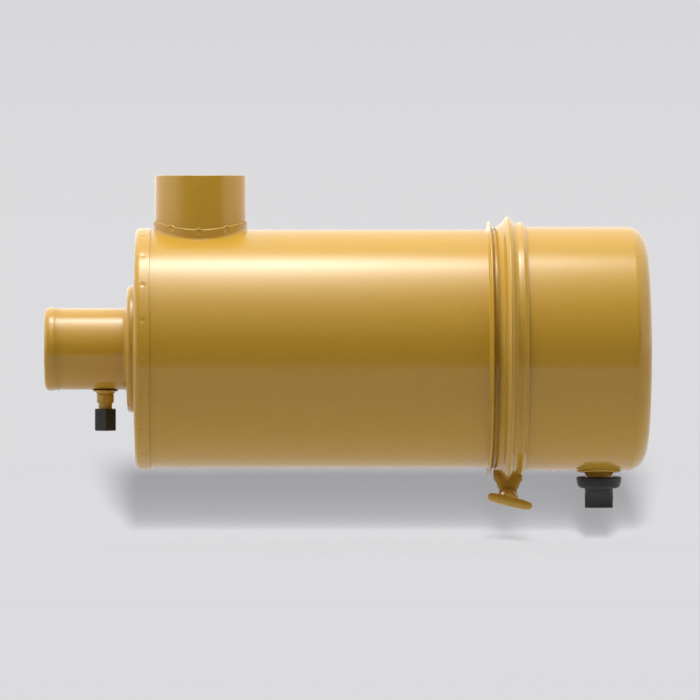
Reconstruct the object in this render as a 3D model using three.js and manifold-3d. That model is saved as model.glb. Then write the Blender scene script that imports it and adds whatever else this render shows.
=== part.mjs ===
// A two-stage dry air cleaner for an engine: a painted steel barrel with a side inlet and an axial outlet,
// a dust cover held on by a profiled band clamp, a rubber unloader valve, and the two filter elements inside.
// Millimetres. +X runs along the barrel from the outlet to the dust cover, +Z is up, and the origin is on the
// barrel's axis, midway between its ends, where the mounting bands hold it.
import * as THREE from "three";
import { mergeVertices } from "three/addons/utils/BufferGeometryUtils.js";
import Module from "manifold-3d";

const wasm = await Module();
wasm.setup();

// ---- Clearances and sheet ----
const JOINT_GAP = 0.3; // between pieces that touch, are welded or are pressed together
const PIN_GAP = 0.5; // radial, round a screw or a rod
const NUT_PLAY = 0.9; // radial, round the clamp's screw, so that the band's ends can part
const SHEET = 1.6; // wall of the barrel, tubes and cover
const BIG_SEGMENTS = 40;
const TUBE_SEGMENTS = 32;
const SMALL_SEGMENTS = 16;
const ARC_STEPS = 3;
const PLATE_CURVE_STEPS = 12;
const REACH = 1000; // longer than anything that a cutting tool has to pass through
const OVERCUT = 1; // how far a cutting tool passes the face that it opens, and a joined piece its root
const EDGE = 1; // chamfer of a turned piece's edge

// ---- Barrel ----
const BARREL_RADIUS = 149.5;
const BARREL_LENGTH = 459;
const BARREL_BORE = BARREL_RADIUS - SHEET;
const BARREL_START = -BARREL_LENGTH / 2;
const BARREL_END = BARREL_LENGTH / 2;
const STOP_RIB_SETBACK = 19.8; // from the barrel's open end to the rib's crest
const STOP_RIB_HEIGHT = 11;
const STOP_RIB_HALF_WIDTH = 4;
const STOP_RIB_TIP = 0.9; // half the crest's thickness
const END_FLANGE_HEIGHT = 5.5;
const END_FLANGE_THICKNESS = 2.4;

// ---- Outlet tube ----
const OUTLET_RADIUS = 51; // for a 4 inch hose
const OUTLET_LENGTH = 102.8;
const OUTLET_BORE = OUTLET_RADIUS - SHEET;
const OUTLET_BEAD_HEIGHT = 1.2;
const OUTLET_BEAD_SETBACK = 12;
const OUTLET_BEAD_WIDTH = 8;
const OUTLET_LIP_CURL = 1.6;
const OUTLET_FLARE = 3.5;
const OUTLET_TAIL = 3; // how far the tube reaches inside the head

// ---- Radii of the elements, from the outlet outwards and from the barrel inwards ----
const SAFETY_BORE = OUTLET_RADIUS + 7;
const SAFETY_RADIUS = SAFETY_BORE + 12;
const ELEMENT_BORE = SAFETY_RADIUS + 12;
const AIR_SPACE = 29.9; // between the barrel's bore and the primary element
const ELEMENT_RADIUS = BARREL_BORE - AIR_SPACE;

// ---- Outlet head: the pressed end that laps over the barrel ----
const HEAD_SHEET = 1.9;
const HEAD_CLEARANCE = 1.5; // between the barrel's end and the head's inner face
const HEAD_RADIUS = BARREL_RADIUS + JOINT_GAP + HEAD_SHEET;
const HEAD_INNER_FACE = BARREL_START - HEAD_CLEARANCE;
const HEAD_FACE = HEAD_INNER_FACE - HEAD_SHEET;
const HEAD_CORNER = 7;
const HEAD_SKIRT = 18.8;
const SKIRT_END = HEAD_FACE + HEAD_SKIRT;
const BOSS_RADIUS = SAFETY_RADIUS + 9.5;
const BOSS_HEIGHT = 10.6;
const BOSS_CORNER = 6;
const BOSS_FACE = HEAD_FACE - BOSS_HEIGHT;
const BOSS_INNER_FACE = BOSS_FACE + HEAD_SHEET;
const OUTLET_END = BOSS_FACE - OUTLET_LENGTH;

// ---- Inlet tube and the neck pulled out of the barrel ----
const INLET_RADIUS = 57; // for a 4.5 inch hose
const INLET_RISE = 68; // above the barrel
const INLET_TOP = BARREL_RADIUS + INLET_RISE;
const INLET_BORE = INLET_RADIUS - SHEET;
const NECK_WALL = 1.4;
const NECK_BORE = INLET_RADIUS + JOINT_GAP;
const NECK_RADIUS = NECK_BORE + NECK_WALL;
const NECK_RISE = 11.5;
const NECK_SETBACK = 3.5; // from the head's skirt to the neck
const INLET_X = SKIRT_END + NECK_SETBACK + NECK_RADIUS;

// ---- Restriction indicator port under the outlet tube ----
const PORT_SETBACK = 27.8; // from the head's boss
const PORT_X = BOSS_FACE - PORT_SETBACK;
const PORT_FLANGE_RADIUS = 16.4;
const PORT_FLANGE_FOOT = 11.2;
const PORT_FLANGE_DEPTH = 4.7;
const PORT_FLANGE_EDGE = 1.3;
const PORT_TAP_RADIUS = 6;
const ADAPTER_RADIUS = 10.7;
const ADAPTER_LENGTH = 11.6;
const ADAPTER_NECK_RADIUS = 8.5;
const ADAPTER_NECK_LENGTH = 19;
const ADAPTER_BORE = 2.5;
const PORT_CAP_FLATS = 26; // across the flats
const PORT_CAP_LENGTH = 27.5;
const PORT_CAP_DEPTH = 15;
const PORT_CAP_SHOWN_NECK = 7;
const PORT_CAP_TURN = THREE.MathUtils.degToRad(3.5);

// ---- Dust cover ----
const COVER_STEP = 3.5; // how much wider the cover is than the barrel
const COVER_RADIUS = BARREL_RADIUS + COVER_STEP;
const COVER_BORE = COVER_RADIUS - SHEET;
const COVER_GASKET_THICKNESS = 1.8;
const COVER_START = BARREL_END + COVER_GASKET_THICKNESS + 2 * JOINT_GAP;
const COVER_LENGTH = 173.5; // from the rim to the end's corner, without the crown
const COVER_END = COVER_START + COVER_LENGTH;
const COVER_CORNER = 26;
const COVER_CROWN = 7.5;
const CROWN_SHOULDER_RADIUS = 84;
const CROWN_SHOULDER_RISE = 4.1;
const COVER_RIM_HEIGHT = 6.5;
const COVER_RIM_THICKNESS = 1.8;
const GASKET_INNER = BARREL_BORE + 1.5;
const GASKET_OUTER = COVER_RADIUS + 4.5;

// ---- Band clamp: two halves that part at the bottom ----
const BAND_THICKNESS = 1.5;
const BAND_PEAK_X = BARREL_END + 3.3;
const BAND_PEAK_RISE = 13.7;
const BAND_SPLIT = 11; // half the gap between the band's lower ends
// Outer profile: distance from the main crest along X, height above the cover's surface.
const BAND_PROFILE = [
  [-15.8, -0.6],
  [-7.7, 4.5],
  [-3.9, 9.8],
  [0, BAND_PEAK_RISE],
  [3.4, 10.8],
  [6.6, 6.2],
  [9.2, 4.9],
  [17.7, 6.9],
  [21.1, 2.6],
  [23.6, 2.3],
];
const SCREW_RADIUS = 4;
const SCREW_DROP = 17.8; // from the band's crest down to the screw's axis
const SCREW_X = BAND_PEAK_X + 1.2;
const SCREW_Z = -(COVER_RADIUS + BAND_PEAK_RISE + SCREW_DROP);
const LUG_THICKNESS = 2.3;
const LUG_INNER = BAND_SPLIT + 1;
const LUG_OUTER = LUG_INNER + LUG_THICKNESS;
const LUG_TOP_WIDTH = 36;
const LUG_SHOULDER_WIDTH = 34;
const LUG_SHOULDER_RISE = 17;
const LUG_WAIST_WIDTH = 20.6;
const LUG_WAIST_RISE = 9; // above the screw's axis
const LUG_TOP_RISE = 34;
const WASHER_RADIUS = 11.2;
const WASHER_THICKNESS = 2;
const SPACER_RADIUS = 10;
const SPACER_LENGTH = 38;
const NUT_FLATS = 16;
const NUT_LENGTH = 9;
const SCREW_TAIL = 7; // beyond the nut
const HUB_RADIUS = 9;
const HUB_LENGTH = 14;
const HUB_SOCKET = 10;
const HUB_RECESS = 1; // of the hub's end behind the bar's far side
const BAR_LENGTH = 55;
const BAR_RADIUS = 4.9;
const BAR_DROP = 4.5; // the bar is welded across the hub below its centre
const BAR_TILT = THREE.MathUtils.degToRad(14.5);

// ---- Unloader valve and its spigot ----
const VALVE_SETBACK = 57; // from the cover's end
const VALVE_X = COVER_END - VALVE_SETBACK;
const SPIGOT_BORE = 15;
const SPIGOT_WALL = 1.8;
const SPIGOT_RADIUS = SPIGOT_BORE + SPIGOT_WALL;
const SPIGOT_LIP_RADIUS = SPIGOT_RADIUS + 1;
const SPIGOT_LIP_LENGTH = 8;
const SPIGOT_LENGTH = 13;
const SPIGOT_FLANGE_RADIUS = SPIGOT_RADIUS + 11.4;
const SPIGOT_FLANGE_THICKNESS = 1.9;
const SPIGOT_BOTTOM = -(COVER_RADIUS + SPIGOT_LENGTH);
const SPIGOT_BLANK_TOP = -COVER_RADIUS / 2; // its blank starts inside the cover and is cut to fit the wall
const VALVE_DROP = 7.6; // from the cover down to the collar's top
const VALVE_TOP = -(COVER_RADIUS + VALVE_DROP);
const COLLAR_RADIUS = SPIGOT_LIP_RADIUS + 10.5;
const COLLAR_TAPER = 1.9;
const COLLAR_HEIGHT = 14.4;
const COLLAR_EDGE = 4;
const BILL_RADIUS = SPIGOT_LIP_RADIUS - 0.2;
const BILL_LENGTH = 24.8;
const BILL_HALF_THICKNESS = 5;
const BILL_STRAIGHT = 8;
const BILL_PINCH = 0.8; // how flat the bill already is where its straight part ends
const RUBBER_WALL = 2.8;
const BILL_SLIT = 0.9; // half the slit's width

// ---- Yoke that the elements are drawn onto ----
const ROD_RADIUS = 5;
const ROD_PROUD = 10; // beyond the barrel's open end
const ROD_END = BARREL_END + ROD_PROUD;
const SPIDER_ARMS = 3;
const SPIDER_WIDTH = 16;
const SPIDER_SETBACK = 20;
const SPIDER_X = BOSS_FACE - SPIDER_SETBACK;
const ROD_TAIL = 2; // beyond the spider's hub
const ROD_START = SPIDER_X - ROD_TAIL;
const SPIDER_THICKNESS = 2.5;
const SPIDER_HUB_RADIUS = 10;

// ---- Primary element ----
const LINER = 1;
const ELEMENT_GASKET = 5.5;
const ELEMENT_CAP = 5;
const ELEMENT_START = HEAD_INNER_FACE + JOINT_GAP;
const ELEMENT_SETBACK = 18.2; // from the barrel's open end
const ELEMENT_END = BARREL_END - ELEMENT_SETBACK;
const ELEMENT_CAP_LIP = 3;
const ELEMENT_CAP_RADIUS = ELEMENT_RADIUS + ELEMENT_CAP_LIP;
const GASKET_MARGIN = 2;
const PLEATS = 48;
const PLEAT_SHEET = 1.6; // radial thickness of the folded paper
const PLEAT_MARGIN = 1; // from the folds' tips to the liners
const SHROUD_RADIUS = ELEMENT_RADIUS + 2;
const VANES = 18;
const VANE_RADIUS = BARREL_BORE - 4;
const VANE_LENGTH = 26;
const VANE_THICKNESS = 2;
const VANE_PITCH = THREE.MathUtils.degToRad(40);
const WING_HUB_RADIUS = 11;
const WING_LENGTH = 16;
const WING_THICKNESS = 4;
const WING_HUB_END = 8.25; // the hub's radius at its far end
const WING_ROOT = 1.6; // along the nut, where the wing leaves the hub
const WING_SHOULDER = [3.2, 21]; // along the nut and out from its axis
const WING_TOP = [12.8, 30];
const WING_CORNER = [22.4, 30];
const WING_TIP = [20.8, 21];
const SEAL_RADIUS = 16;
const SEAL_THICKNESS = 3;

// ---- Safety element ----
const SAFETY_START = BOSS_INNER_FACE + JOINT_GAP;
const SAFETY_SETBACK = 89.7; // from the primary element's end
const SAFETY_END = ELEMENT_END - SAFETY_SETBACK;
const SAFETY_GASKET = 2.5;
const SAFETY_CAP = 4;
const SAFETY_CAP_RADIUS = SAFETY_RADIUS + 1;
const SAFETY_NUT_FLATS = 17;
const SAFETY_NUT_LENGTH = 10;

// ---- Baffle in the cover ----
const BAFFLE_SHEET = 1.5;
const BAFFLE_SETBACK = 32;
const BAFFLE_X = COVER_START + BAFFLE_SETBACK;
const BAFFLE_DISH = 26;
const BAFFLE_RIM = 10;
const BAFFLE_SLOPE = 29.4;
const BAFFLE_OUTER = COVER_BORE - JOINT_GAP;
const BAFFLE_PLATE_RADIUS = BAFFLE_OUTER - BAFFLE_SLOPE;
const BAFFLE_OPENING = 62;
const BAFFLE_SLOT_WIDTH = 90;
const BAFFLE_SLOT_LAP = 12; // the slot's depth into the flat plate

// ---- Materials ----
const paint = new THREE.MeshStandardMaterial({ color: 0xd2a04a, roughness: 0.28, metalness: 0 });
const rubber = new THREE.MeshStandardMaterial({ color: 0x262626, roughness: 0.7, metalness: 0 });
const blackPlastic = new THREE.MeshStandardMaterial({ color: 0x1e1e1e, roughness: 0.5, metalness: 0 });
const plated = new THREE.MeshStandardMaterial({ color: 0xb9bcc0, roughness: 0.35, metalness: 1 });
const paper = new THREE.MeshStandardMaterial({ color: 0xd9cba0, roughness: 0.95, metalness: 0 });
const vanePlastic = new THREE.MeshStandardMaterial({ color: 0x2d3338, roughness: 0.6, metalness: 0 });

// ---- Solid modelling helpers ----
const MERGE_DISTANCE = 1e-4;

function toSolid(geometry) {
  const bare = geometry.clone();
  bare.deleteAttribute("normal");
  bare.deleteAttribute("uv");
  const merged = mergeVertices(bare, MERGE_DISTANCE);
  const vertProperties = merged.attributes.position.array;
  return new wasm.Manifold(new wasm.Mesh({ numProp: 3, vertProperties, triVerts: merged.index.array }));
}

function toGeometry(solid) {
  const mesh = solid.getMesh();
  const geometry = new THREE.BufferGeometry();
  geometry.setAttribute("position", new THREE.BufferAttribute(mesh.vertProperties, 3));
  geometry.setIndex(new THREE.BufferAttribute(mesh.triVerts, 1));
  return geometry;
}

const cut = (geometry, ...tools) =>
  toGeometry(tools.reduce((solid, tool) => solid.subtract(toSolid(tool)), toSolid(geometry)));

const join = (geometry, ...others) =>
  toGeometry(others.reduce((solid, other) => solid.add(toSolid(other)), toSolid(geometry)));

const common = (geometry, other) => toGeometry(toSolid(geometry).intersect(toSolid(other)));

// A closed outline of [along, radius] points, turned about an axis, with its faces pointing out.
function turned(outline, segments) {
  const points = outline.map(([along, radius]) => new THREE.Vector2(radius, along));
  if (THREE.ShapeUtils.area(points) < 0) points.reverse();
  const onAxis = points[0].x === 0 && points.at(-1).x === 0;
  if (!onAxis) points.push(points[0].clone());
  return new THREE.LatheGeometry(points, segments);
}

const turnedX = (outline, segments) => turned(outline, segments).rotateZ(-Math.PI / 2);
const turnedY = (outline, segments) => turned(outline, segments);
const turnedZ = (outline, segments) => turned(outline, segments).rotateX(Math.PI / 2);

// The rectangle that turns into a tube or a washer.
const ring = (start, end, inner, outer) => [
  [start, inner],
  [end, inner],
  [end, outer],
  [start, outer],
];

// A tube or a washer along the barrel's axis.
const tubeX = (start, end, inner, outer, segments = TUBE_SEGMENTS) =>
  turnedX(ring(start, end, inner, outer), segments);

// The outline that turns into a full rod.
const rod = (start, end, radius) => [
  [start, 0],
  [start, radius],
  [end, radius],
  [end, 0],
];

// A quarter round from angle a to angle b about a centre, as outline points.
function arc(centreAlong, centreRadius, size, a, b, steps = ARC_STEPS) {
  return Array.from({ length: steps + 1 }, (_, i) => {
    const angle = THREE.MathUtils.degToRad(a + ((b - a) * i) / steps);
    return [centreAlong + size * Math.cos(angle), centreRadius + size * Math.sin(angle)];
  });
}

// A plate from an outline in X and Z, standing across Y between two planes.
function plateY(shape, from, to) {
  const settings = { depth: to - from, bevelEnabled: false, curveSegments: PLATE_CURVE_STEPS };
  const plate = new THREE.ExtrudeGeometry(shape, settings);
  return plate.rotateX(Math.PI / 2).translate(0, to, 0);
}

// Joins loops with the same number of points into one closed skin.
function loft(loops) {
  const count = loops[0].length;
  const positions = loops.flat().flatMap((p) => [p.x, p.y, p.z]);
  const index = [];
  for (let row = 0; row < loops.length - 1; row++) {
    for (let i = 0; i < count; i++) {
      const next = (i + 1) % count;
      const [a, b] = [row * count + i, row * count + next];
      const [c, d] = [a + count, b + count];
      index.push(a, b, d, a, d, c);
    }
  }
  const last = (loops.length - 1) * count;
  for (let i = 1; i < count - 1; i++) {
    index.push(0, i + 1, i);
    index.push(last, last + i, last + i + 1);
  }
  const geometry = new THREE.BufferGeometry();
  geometry.setAttribute("position", new THREE.Float32BufferAttribute(positions, 3));
  geometry.setIndex(index);
  return geometry;
}

const part = new THREE.Group();

function add(name, geometry, material) {
  const mesh = new THREE.Mesh(geometry, material);
  mesh.name = name;
  part.add(mesh);
}

// ---- Barrel, with the neck, rib and flange that are welded to it ----
function barrel() {
  const tube = tubeX(BARREL_START, BARREL_END, BARREL_BORE, BARREL_RADIUS, BIG_SEGMENTS);
  const hole = turnedZ(rod(0, INLET_TOP, NECK_BORE), TUBE_SEGMENTS).translate(INLET_X, 0, 0);
  return cut(tube, hole);
}

function inletNeck() {
  const seatRadius = BARREL_RADIUS + JOINT_GAP;
  const alongX = [INLET_X - REACH / 2, INLET_X + REACH / 2];
  return common(
    turnedZ(ring(BARREL_BORE / 2, INLET_TOP, NECK_BORE, NECK_RADIUS), TUBE_SEGMENTS)
      .translate(INLET_X, 0, 0),
    turnedX(ring(...alongX, seatRadius, BARREL_RADIUS + NECK_RISE), BIG_SEGMENTS),
  );
}

function stopRib() {
  const ribX = BARREL_END - STOP_RIB_SETBACK;
  const foot = BARREL_RADIUS + JOINT_GAP;
  const crest = BARREL_RADIUS + STOP_RIB_HEIGHT;
  return turnedX(
    [
      [ribX - STOP_RIB_HALF_WIDTH, foot],
      [ribX - STOP_RIB_TIP, crest],
      [ribX + STOP_RIB_TIP, crest],
      [ribX + STOP_RIB_HALF_WIDTH / 2, foot],
    ],
    BIG_SEGMENTS,
  );
}

const barrelFlange = () =>
  tubeX(
    BARREL_END - END_FLANGE_THICKNESS,
    BARREL_END,
    BARREL_RADIUS + JOINT_GAP,
    BARREL_RADIUS + END_FLANGE_HEIGHT,
    BIG_SEGMENTS,
  );

// ---- Outlet head ----
function outletHead() {
  const skirtBore = HEAD_RADIUS - HEAD_SHEET;
  return turnedX(
    [
      [SKIRT_END, skirtBore],
      [SKIRT_END, HEAD_RADIUS],
      ...arc(HEAD_FACE + HEAD_CORNER, HEAD_RADIUS - HEAD_CORNER, HEAD_CORNER, 90, 180),
      [HEAD_FACE, BOSS_RADIUS],
      ...arc(BOSS_FACE + BOSS_CORNER, BOSS_RADIUS - BOSS_CORNER, BOSS_CORNER, 90, 180),
      [BOSS_FACE, OUTLET_RADIUS + JOINT_GAP],
      [BOSS_INNER_FACE, OUTLET_RADIUS + JOINT_GAP],
      [BOSS_INNER_FACE, BOSS_RADIUS - BOSS_CORNER],
      [HEAD_INNER_FACE, BOSS_RADIUS - HEAD_SHEET],
      [HEAD_INNER_FACE, HEAD_RADIUS - HEAD_CORNER],
      [BARREL_START - JOINT_GAP, skirtBore],
    ],
    BIG_SEGMENTS,
  );
}

// ---- Outlet tube with its hose bead and flared foot ----
function outletTube() {
  const beadX = OUTLET_END + OUTLET_BEAD_SETBACK;
  const footX = BOSS_FACE - JOINT_GAP;
  const tube = turnedX(
    [
      [BOSS_INNER_FACE + OUTLET_TAIL, OUTLET_BORE],
      [BOSS_INNER_FACE + OUTLET_TAIL, OUTLET_RADIUS],
      [footX, OUTLET_RADIUS],
      [footX, OUTLET_RADIUS + OUTLET_FLARE],
      [footX - OUTLET_FLARE / 2, OUTLET_RADIUS + OUTLET_FLARE / 4],
      [footX - OUTLET_FLARE, OUTLET_RADIUS],
      [beadX + OUTLET_BEAD_WIDTH / 2, OUTLET_RADIUS],
      [beadX, OUTLET_RADIUS + OUTLET_BEAD_HEIGHT],
      [OUTLET_END + OUTLET_LIP_CURL, OUTLET_RADIUS - OUTLET_LIP_CURL / 4],
      [OUTLET_END, OUTLET_RADIUS - OUTLET_LIP_CURL],
      [OUTLET_END, OUTLET_BORE - OUTLET_LIP_CURL],
      [OUTLET_END + OUTLET_BEAD_SETBACK / 2, OUTLET_BORE],
    ],
    TUBE_SEGMENTS,
  );
  const tap = turnedZ(rod(-REACH, 0, PORT_TAP_RADIUS + PIN_GAP), SMALL_SEGMENTS).translate(PORT_X, 0, 0);
  return cut(tube, tap);
}

// ---- Inlet tube, trimmed to the barrel's inner wall ----
function inletTube() {
  const tube = turnedZ(ring(BARREL_BORE / 2, INLET_TOP, INLET_BORE, INLET_RADIUS), TUBE_SEGMENTS);
  const barrelInside = turnedX(rod(-REACH, REACH, BARREL_BORE), BIG_SEGMENTS);
  return cut(tube.translate(INLET_X, 0, 0), barrelInside);
}

// ---- Restriction indicator port ----
const PORT_TOP = -(OUTLET_RADIUS + JOINT_GAP);
const PORT_FOOT = PORT_TOP - PORT_FLANGE_DEPTH;
const ADAPTER_TOP = PORT_FOOT - JOINT_GAP;
const ADAPTER_FOOT = ADAPTER_TOP - ADAPTER_LENGTH;
const PORT_CAP_TOP = ADAPTER_FOOT - PORT_CAP_SHOWN_NECK;

function portFlange() {
  const flange = turnedZ(
    [
      [PORT_TOP + PORT_FLANGE_DEPTH, 0],
      [PORT_TOP + PORT_FLANGE_DEPTH, PORT_FLANGE_FOOT],
      [PORT_TOP, PORT_FLANGE_RADIUS],
      [PORT_TOP - PORT_FLANGE_EDGE, PORT_FLANGE_RADIUS],
      [PORT_FOOT, PORT_FLANGE_FOOT],
      [PORT_FOOT, 0],
    ],
    SMALL_SEGMENTS,
  ).translate(PORT_X, 0, 0);
  const tube = turnedX(rod(-REACH, REACH, OUTLET_RADIUS + JOINT_GAP), TUBE_SEGMENTS);
  const tap = turnedZ(rod(-REACH, 0, PORT_TAP_RADIUS + PIN_GAP), SMALL_SEGMENTS).translate(PORT_X, 0, 0);
  return cut(flange, tube, tap);
}

function portAdapter() {
  return turnedZ(
    [
      [PORT_TOP + SHEET, ADAPTER_BORE],
      [PORT_TOP + SHEET, PORT_TAP_RADIUS],
      [ADAPTER_TOP, PORT_TAP_RADIUS],
      [ADAPTER_TOP, ADAPTER_RADIUS],
      [ADAPTER_FOOT + EDGE, ADAPTER_RADIUS],
      [ADAPTER_FOOT, ADAPTER_RADIUS - EDGE],
      [ADAPTER_FOOT, ADAPTER_NECK_RADIUS],
      [ADAPTER_FOOT - ADAPTER_NECK_LENGTH, ADAPTER_NECK_RADIUS],
      [ADAPTER_FOOT - ADAPTER_NECK_LENGTH, ADAPTER_BORE],
    ],
    SMALL_SEGMENTS,
  ).translate(PORT_X, 0, 0);
}

function portCap() {
  const across = PORT_CAP_FLATS / Math.sqrt(3);
  const hex = new THREE.CylinderGeometry(across, across, PORT_CAP_LENGTH, 6)
    .rotateX(Math.PI / 2)
    .rotateZ(PORT_CAP_TURN)
    .translate(0, 0, PORT_CAP_TOP - PORT_CAP_LENGTH / 2);
  const socket = turnedZ(
    rod(PORT_CAP_TOP - PORT_CAP_DEPTH, PORT_CAP_TOP + OVERCUT, ADAPTER_NECK_RADIUS + PIN_GAP),
    SMALL_SEGMENTS,
  );
  return cut(hex, socket).translate(PORT_X, 0, 0);
}

// ---- Dust cover ----
function coverShell() {
  const rimBack = COVER_START + COVER_RIM_THICKNESS;
  const shell = turnedX(
    [
      [COVER_END + COVER_CROWN - SHEET, 0],
      [COVER_END + CROWN_SHOULDER_RISE - SHEET, CROWN_SHOULDER_RADIUS],
      ...arc(COVER_END - COVER_CORNER, COVER_RADIUS - COVER_CORNER, COVER_CORNER - SHEET, 0, 90),
      [COVER_START, COVER_BORE],
      [COVER_START, COVER_RADIUS + COVER_RIM_HEIGHT],
      [rimBack, COVER_RADIUS + COVER_RIM_HEIGHT],
      [rimBack, COVER_RADIUS],
      ...arc(COVER_END - COVER_CORNER, COVER_RADIUS - COVER_CORNER, COVER_CORNER, 90, 0),
      [COVER_END + CROWN_SHOULDER_RISE, CROWN_SHOULDER_RADIUS],
      [COVER_END + COVER_CROWN, 0],
    ],
    BIG_SEGMENTS,
  );
  const drain = turnedZ(rod(-REACH, 0, SPIGOT_BORE), SMALL_SEGMENTS).translate(VALVE_X, 0, 0);
  return cut(shell, drain);
}

const coverGasket = () =>
  turnedX(ring(BARREL_END + JOINT_GAP, COVER_START - JOINT_GAP, GASKET_INNER, GASKET_OUTER), BIG_SEGMENTS);

// A dished plate with an open middle and a slot at the top for the thrown dust.
function coverBaffle() {
  const plateX = BAFFLE_X + BAFFLE_DISH;
  const dish = turnedX(
    [
      [BAFFLE_X - BAFFLE_RIM, BAFFLE_OUTER - BAFFLE_SHEET],
      [BAFFLE_X - BAFFLE_RIM, BAFFLE_OUTER],
      [BAFFLE_X, BAFFLE_OUTER],
      [plateX, BAFFLE_PLATE_RADIUS],
      [plateX, BAFFLE_OPENING],
      [plateX - BAFFLE_SHEET, BAFFLE_OPENING],
      [plateX - BAFFLE_SHEET, BAFFLE_PLATE_RADIUS - BAFFLE_SHEET],
      [BAFFLE_X, BAFFLE_OUTER - 2 * BAFFLE_SHEET],
    ],
    BIG_SEGMENTS,
  );
  const slotHeight = BAFFLE_SLOPE + BAFFLE_SLOT_LAP;
  const slot = new THREE.BoxGeometry(BAFFLE_DISH, BAFFLE_SLOT_WIDTH, slotHeight);
  const slotZ = BAFFLE_OUTER - BAFFLE_SLOT_LAP - slotHeight / 2;
  slot.translate(plateX - BAFFLE_DISH / 2 + BAFFLE_SHEET, 0, slotZ);
  return cut(dish, slot);
}

// ---- Spigot and unloader valve ----
function valveSpigot() {
  const seatRadius = COVER_RADIUS + JOINT_GAP;
  const alongX = [VALVE_X - REACH / 2, VALVE_X + REACH / 2];
  const flange = common(
    turnedZ(rod(SPIGOT_BOTTOM, SPIGOT_BLANK_TOP, SPIGOT_FLANGE_RADIUS), SMALL_SEGMENTS)
      .translate(VALVE_X, 0, 0),
    turnedX(ring(...alongX, seatRadius, seatRadius + SPIGOT_FLANGE_THICKNESS), BIG_SEGMENTS),
  );
  const lipTop = SPIGOT_BOTTOM + SPIGOT_LIP_LENGTH;
  const neck = turnedZ(
    [
      [SPIGOT_BLANK_TOP, 0],
      [SPIGOT_BLANK_TOP, SPIGOT_RADIUS],
      [lipTop, SPIGOT_RADIUS],
      [lipTop - EDGE, SPIGOT_LIP_RADIUS],
      [SPIGOT_BOTTOM + EDGE, SPIGOT_LIP_RADIUS],
      [SPIGOT_BOTTOM, SPIGOT_RADIUS],
      [SPIGOT_BOTTOM, 0],
    ],
    SMALL_SEGMENTS,
  ).translate(VALVE_X, 0, 0);
  const coverSkin = turnedX(rod(-REACH, REACH, seatRadius), BIG_SEGMENTS);
  const bore = turnedZ(rod(-REACH, 0, SPIGOT_BORE), SMALL_SEGMENTS).translate(VALVE_X, 0, 0);
  return cut(join(flange, cut(neck, coverSkin)), bore);
}

// A loop that is a circle at share 0 and a flattened oval at share 1.
function billLoop(z, share, radius, halfThickness) {
  const depth = THREE.MathUtils.lerp(radius, halfThickness, share);
  return Array.from({ length: SMALL_SEGMENTS }, (_, i) => {
    const angle = (2 * Math.PI * i) / SMALL_SEGMENTS;
    return new THREE.Vector3(radius * Math.cos(angle), depth * Math.sin(angle), z);
  });
}

// The bill from its root down to its lips: round at the top, pinched flat at the bottom.
function bill(root, lips, radius, halfThickness) {
  const straight = BILL_STRAIGHT + lips;
  return loft([
    billLoop(lips, 1, radius, halfThickness),
    billLoop(straight, BILL_PINCH, radius, halfThickness),
    billLoop(root, 0, radius, halfThickness),
  ]);
}

function unloaderValve() {
  const foot = VALVE_TOP - COLLAR_HEIGHT;
  const lips = foot - BILL_LENGTH;
  const collar = turnedZ(
    [
      [VALVE_TOP, 0],
      [VALVE_TOP, COLLAR_RADIUS - EDGE],
      [VALVE_TOP - EDGE, COLLAR_RADIUS],
      [foot + COLLAR_EDGE, COLLAR_RADIUS - COLLAR_TAPER],
      [foot, COLLAR_RADIUS - COLLAR_TAPER - COLLAR_EDGE],
      [foot, 0],
    ],
    TUBE_SEGMENTS,
  );
  const outside = bill(foot + OVERCUT, lips, BILL_RADIUS, BILL_HALF_THICKNESS);
  const inside = bill(foot + OVERCUT, lips - OVERCUT, BILL_RADIUS - RUBBER_WALL, BILL_SLIT);
  const throat = turnedZ(rod(foot, 0, BILL_RADIUS - RUBBER_WALL), SMALL_SEGMENTS);
  const socket = turnedZ(rod(SPIGOT_BOTTOM - OVERCUT, 0, SPIGOT_LIP_RADIUS + PIN_GAP), SMALL_SEGMENTS);
  return cut(join(collar, outside), inside, throat, socket).translate(VALVE_X, 0, 0);
}

// ---- Band clamp ----
const bandOuter = BAND_PROFILE.map(([along, rise]) => [BAND_PEAK_X + along, COVER_RADIUS + rise]);

// Half of the band, on the side of Y that the sign gives.
function clampBand(side) {
  const inner = bandOuter.map(([along, radius]) => [along, radius - BAND_THICKNESS]).reverse();
  const otherSide = new THREE.BoxGeometry(REACH, REACH, REACH);
  otherSide.translate(0, side * (JOINT_GAP - REACH / 2), 0);
  const gap = new THREE.BoxGeometry(REACH, 2 * BAND_SPLIT, REACH).translate(0, 0, -REACH / 2);
  return cut(turnedX([...bandOuter, ...inner], BIG_SEGMENTS), otherSide, gap);
}

const aboutScrew = (outline) => turnedY(outline, SMALL_SEGMENTS).translate(SCREW_X, 0, SCREW_Z);
const onScrew = (from, to, radius) => aboutScrew(ring(from, to, SCREW_RADIUS + PIN_GAP, radius));
const looseHole = () => aboutScrew(rod(-REACH, REACH, SCREW_RADIUS + NUT_PLAY));

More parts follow.
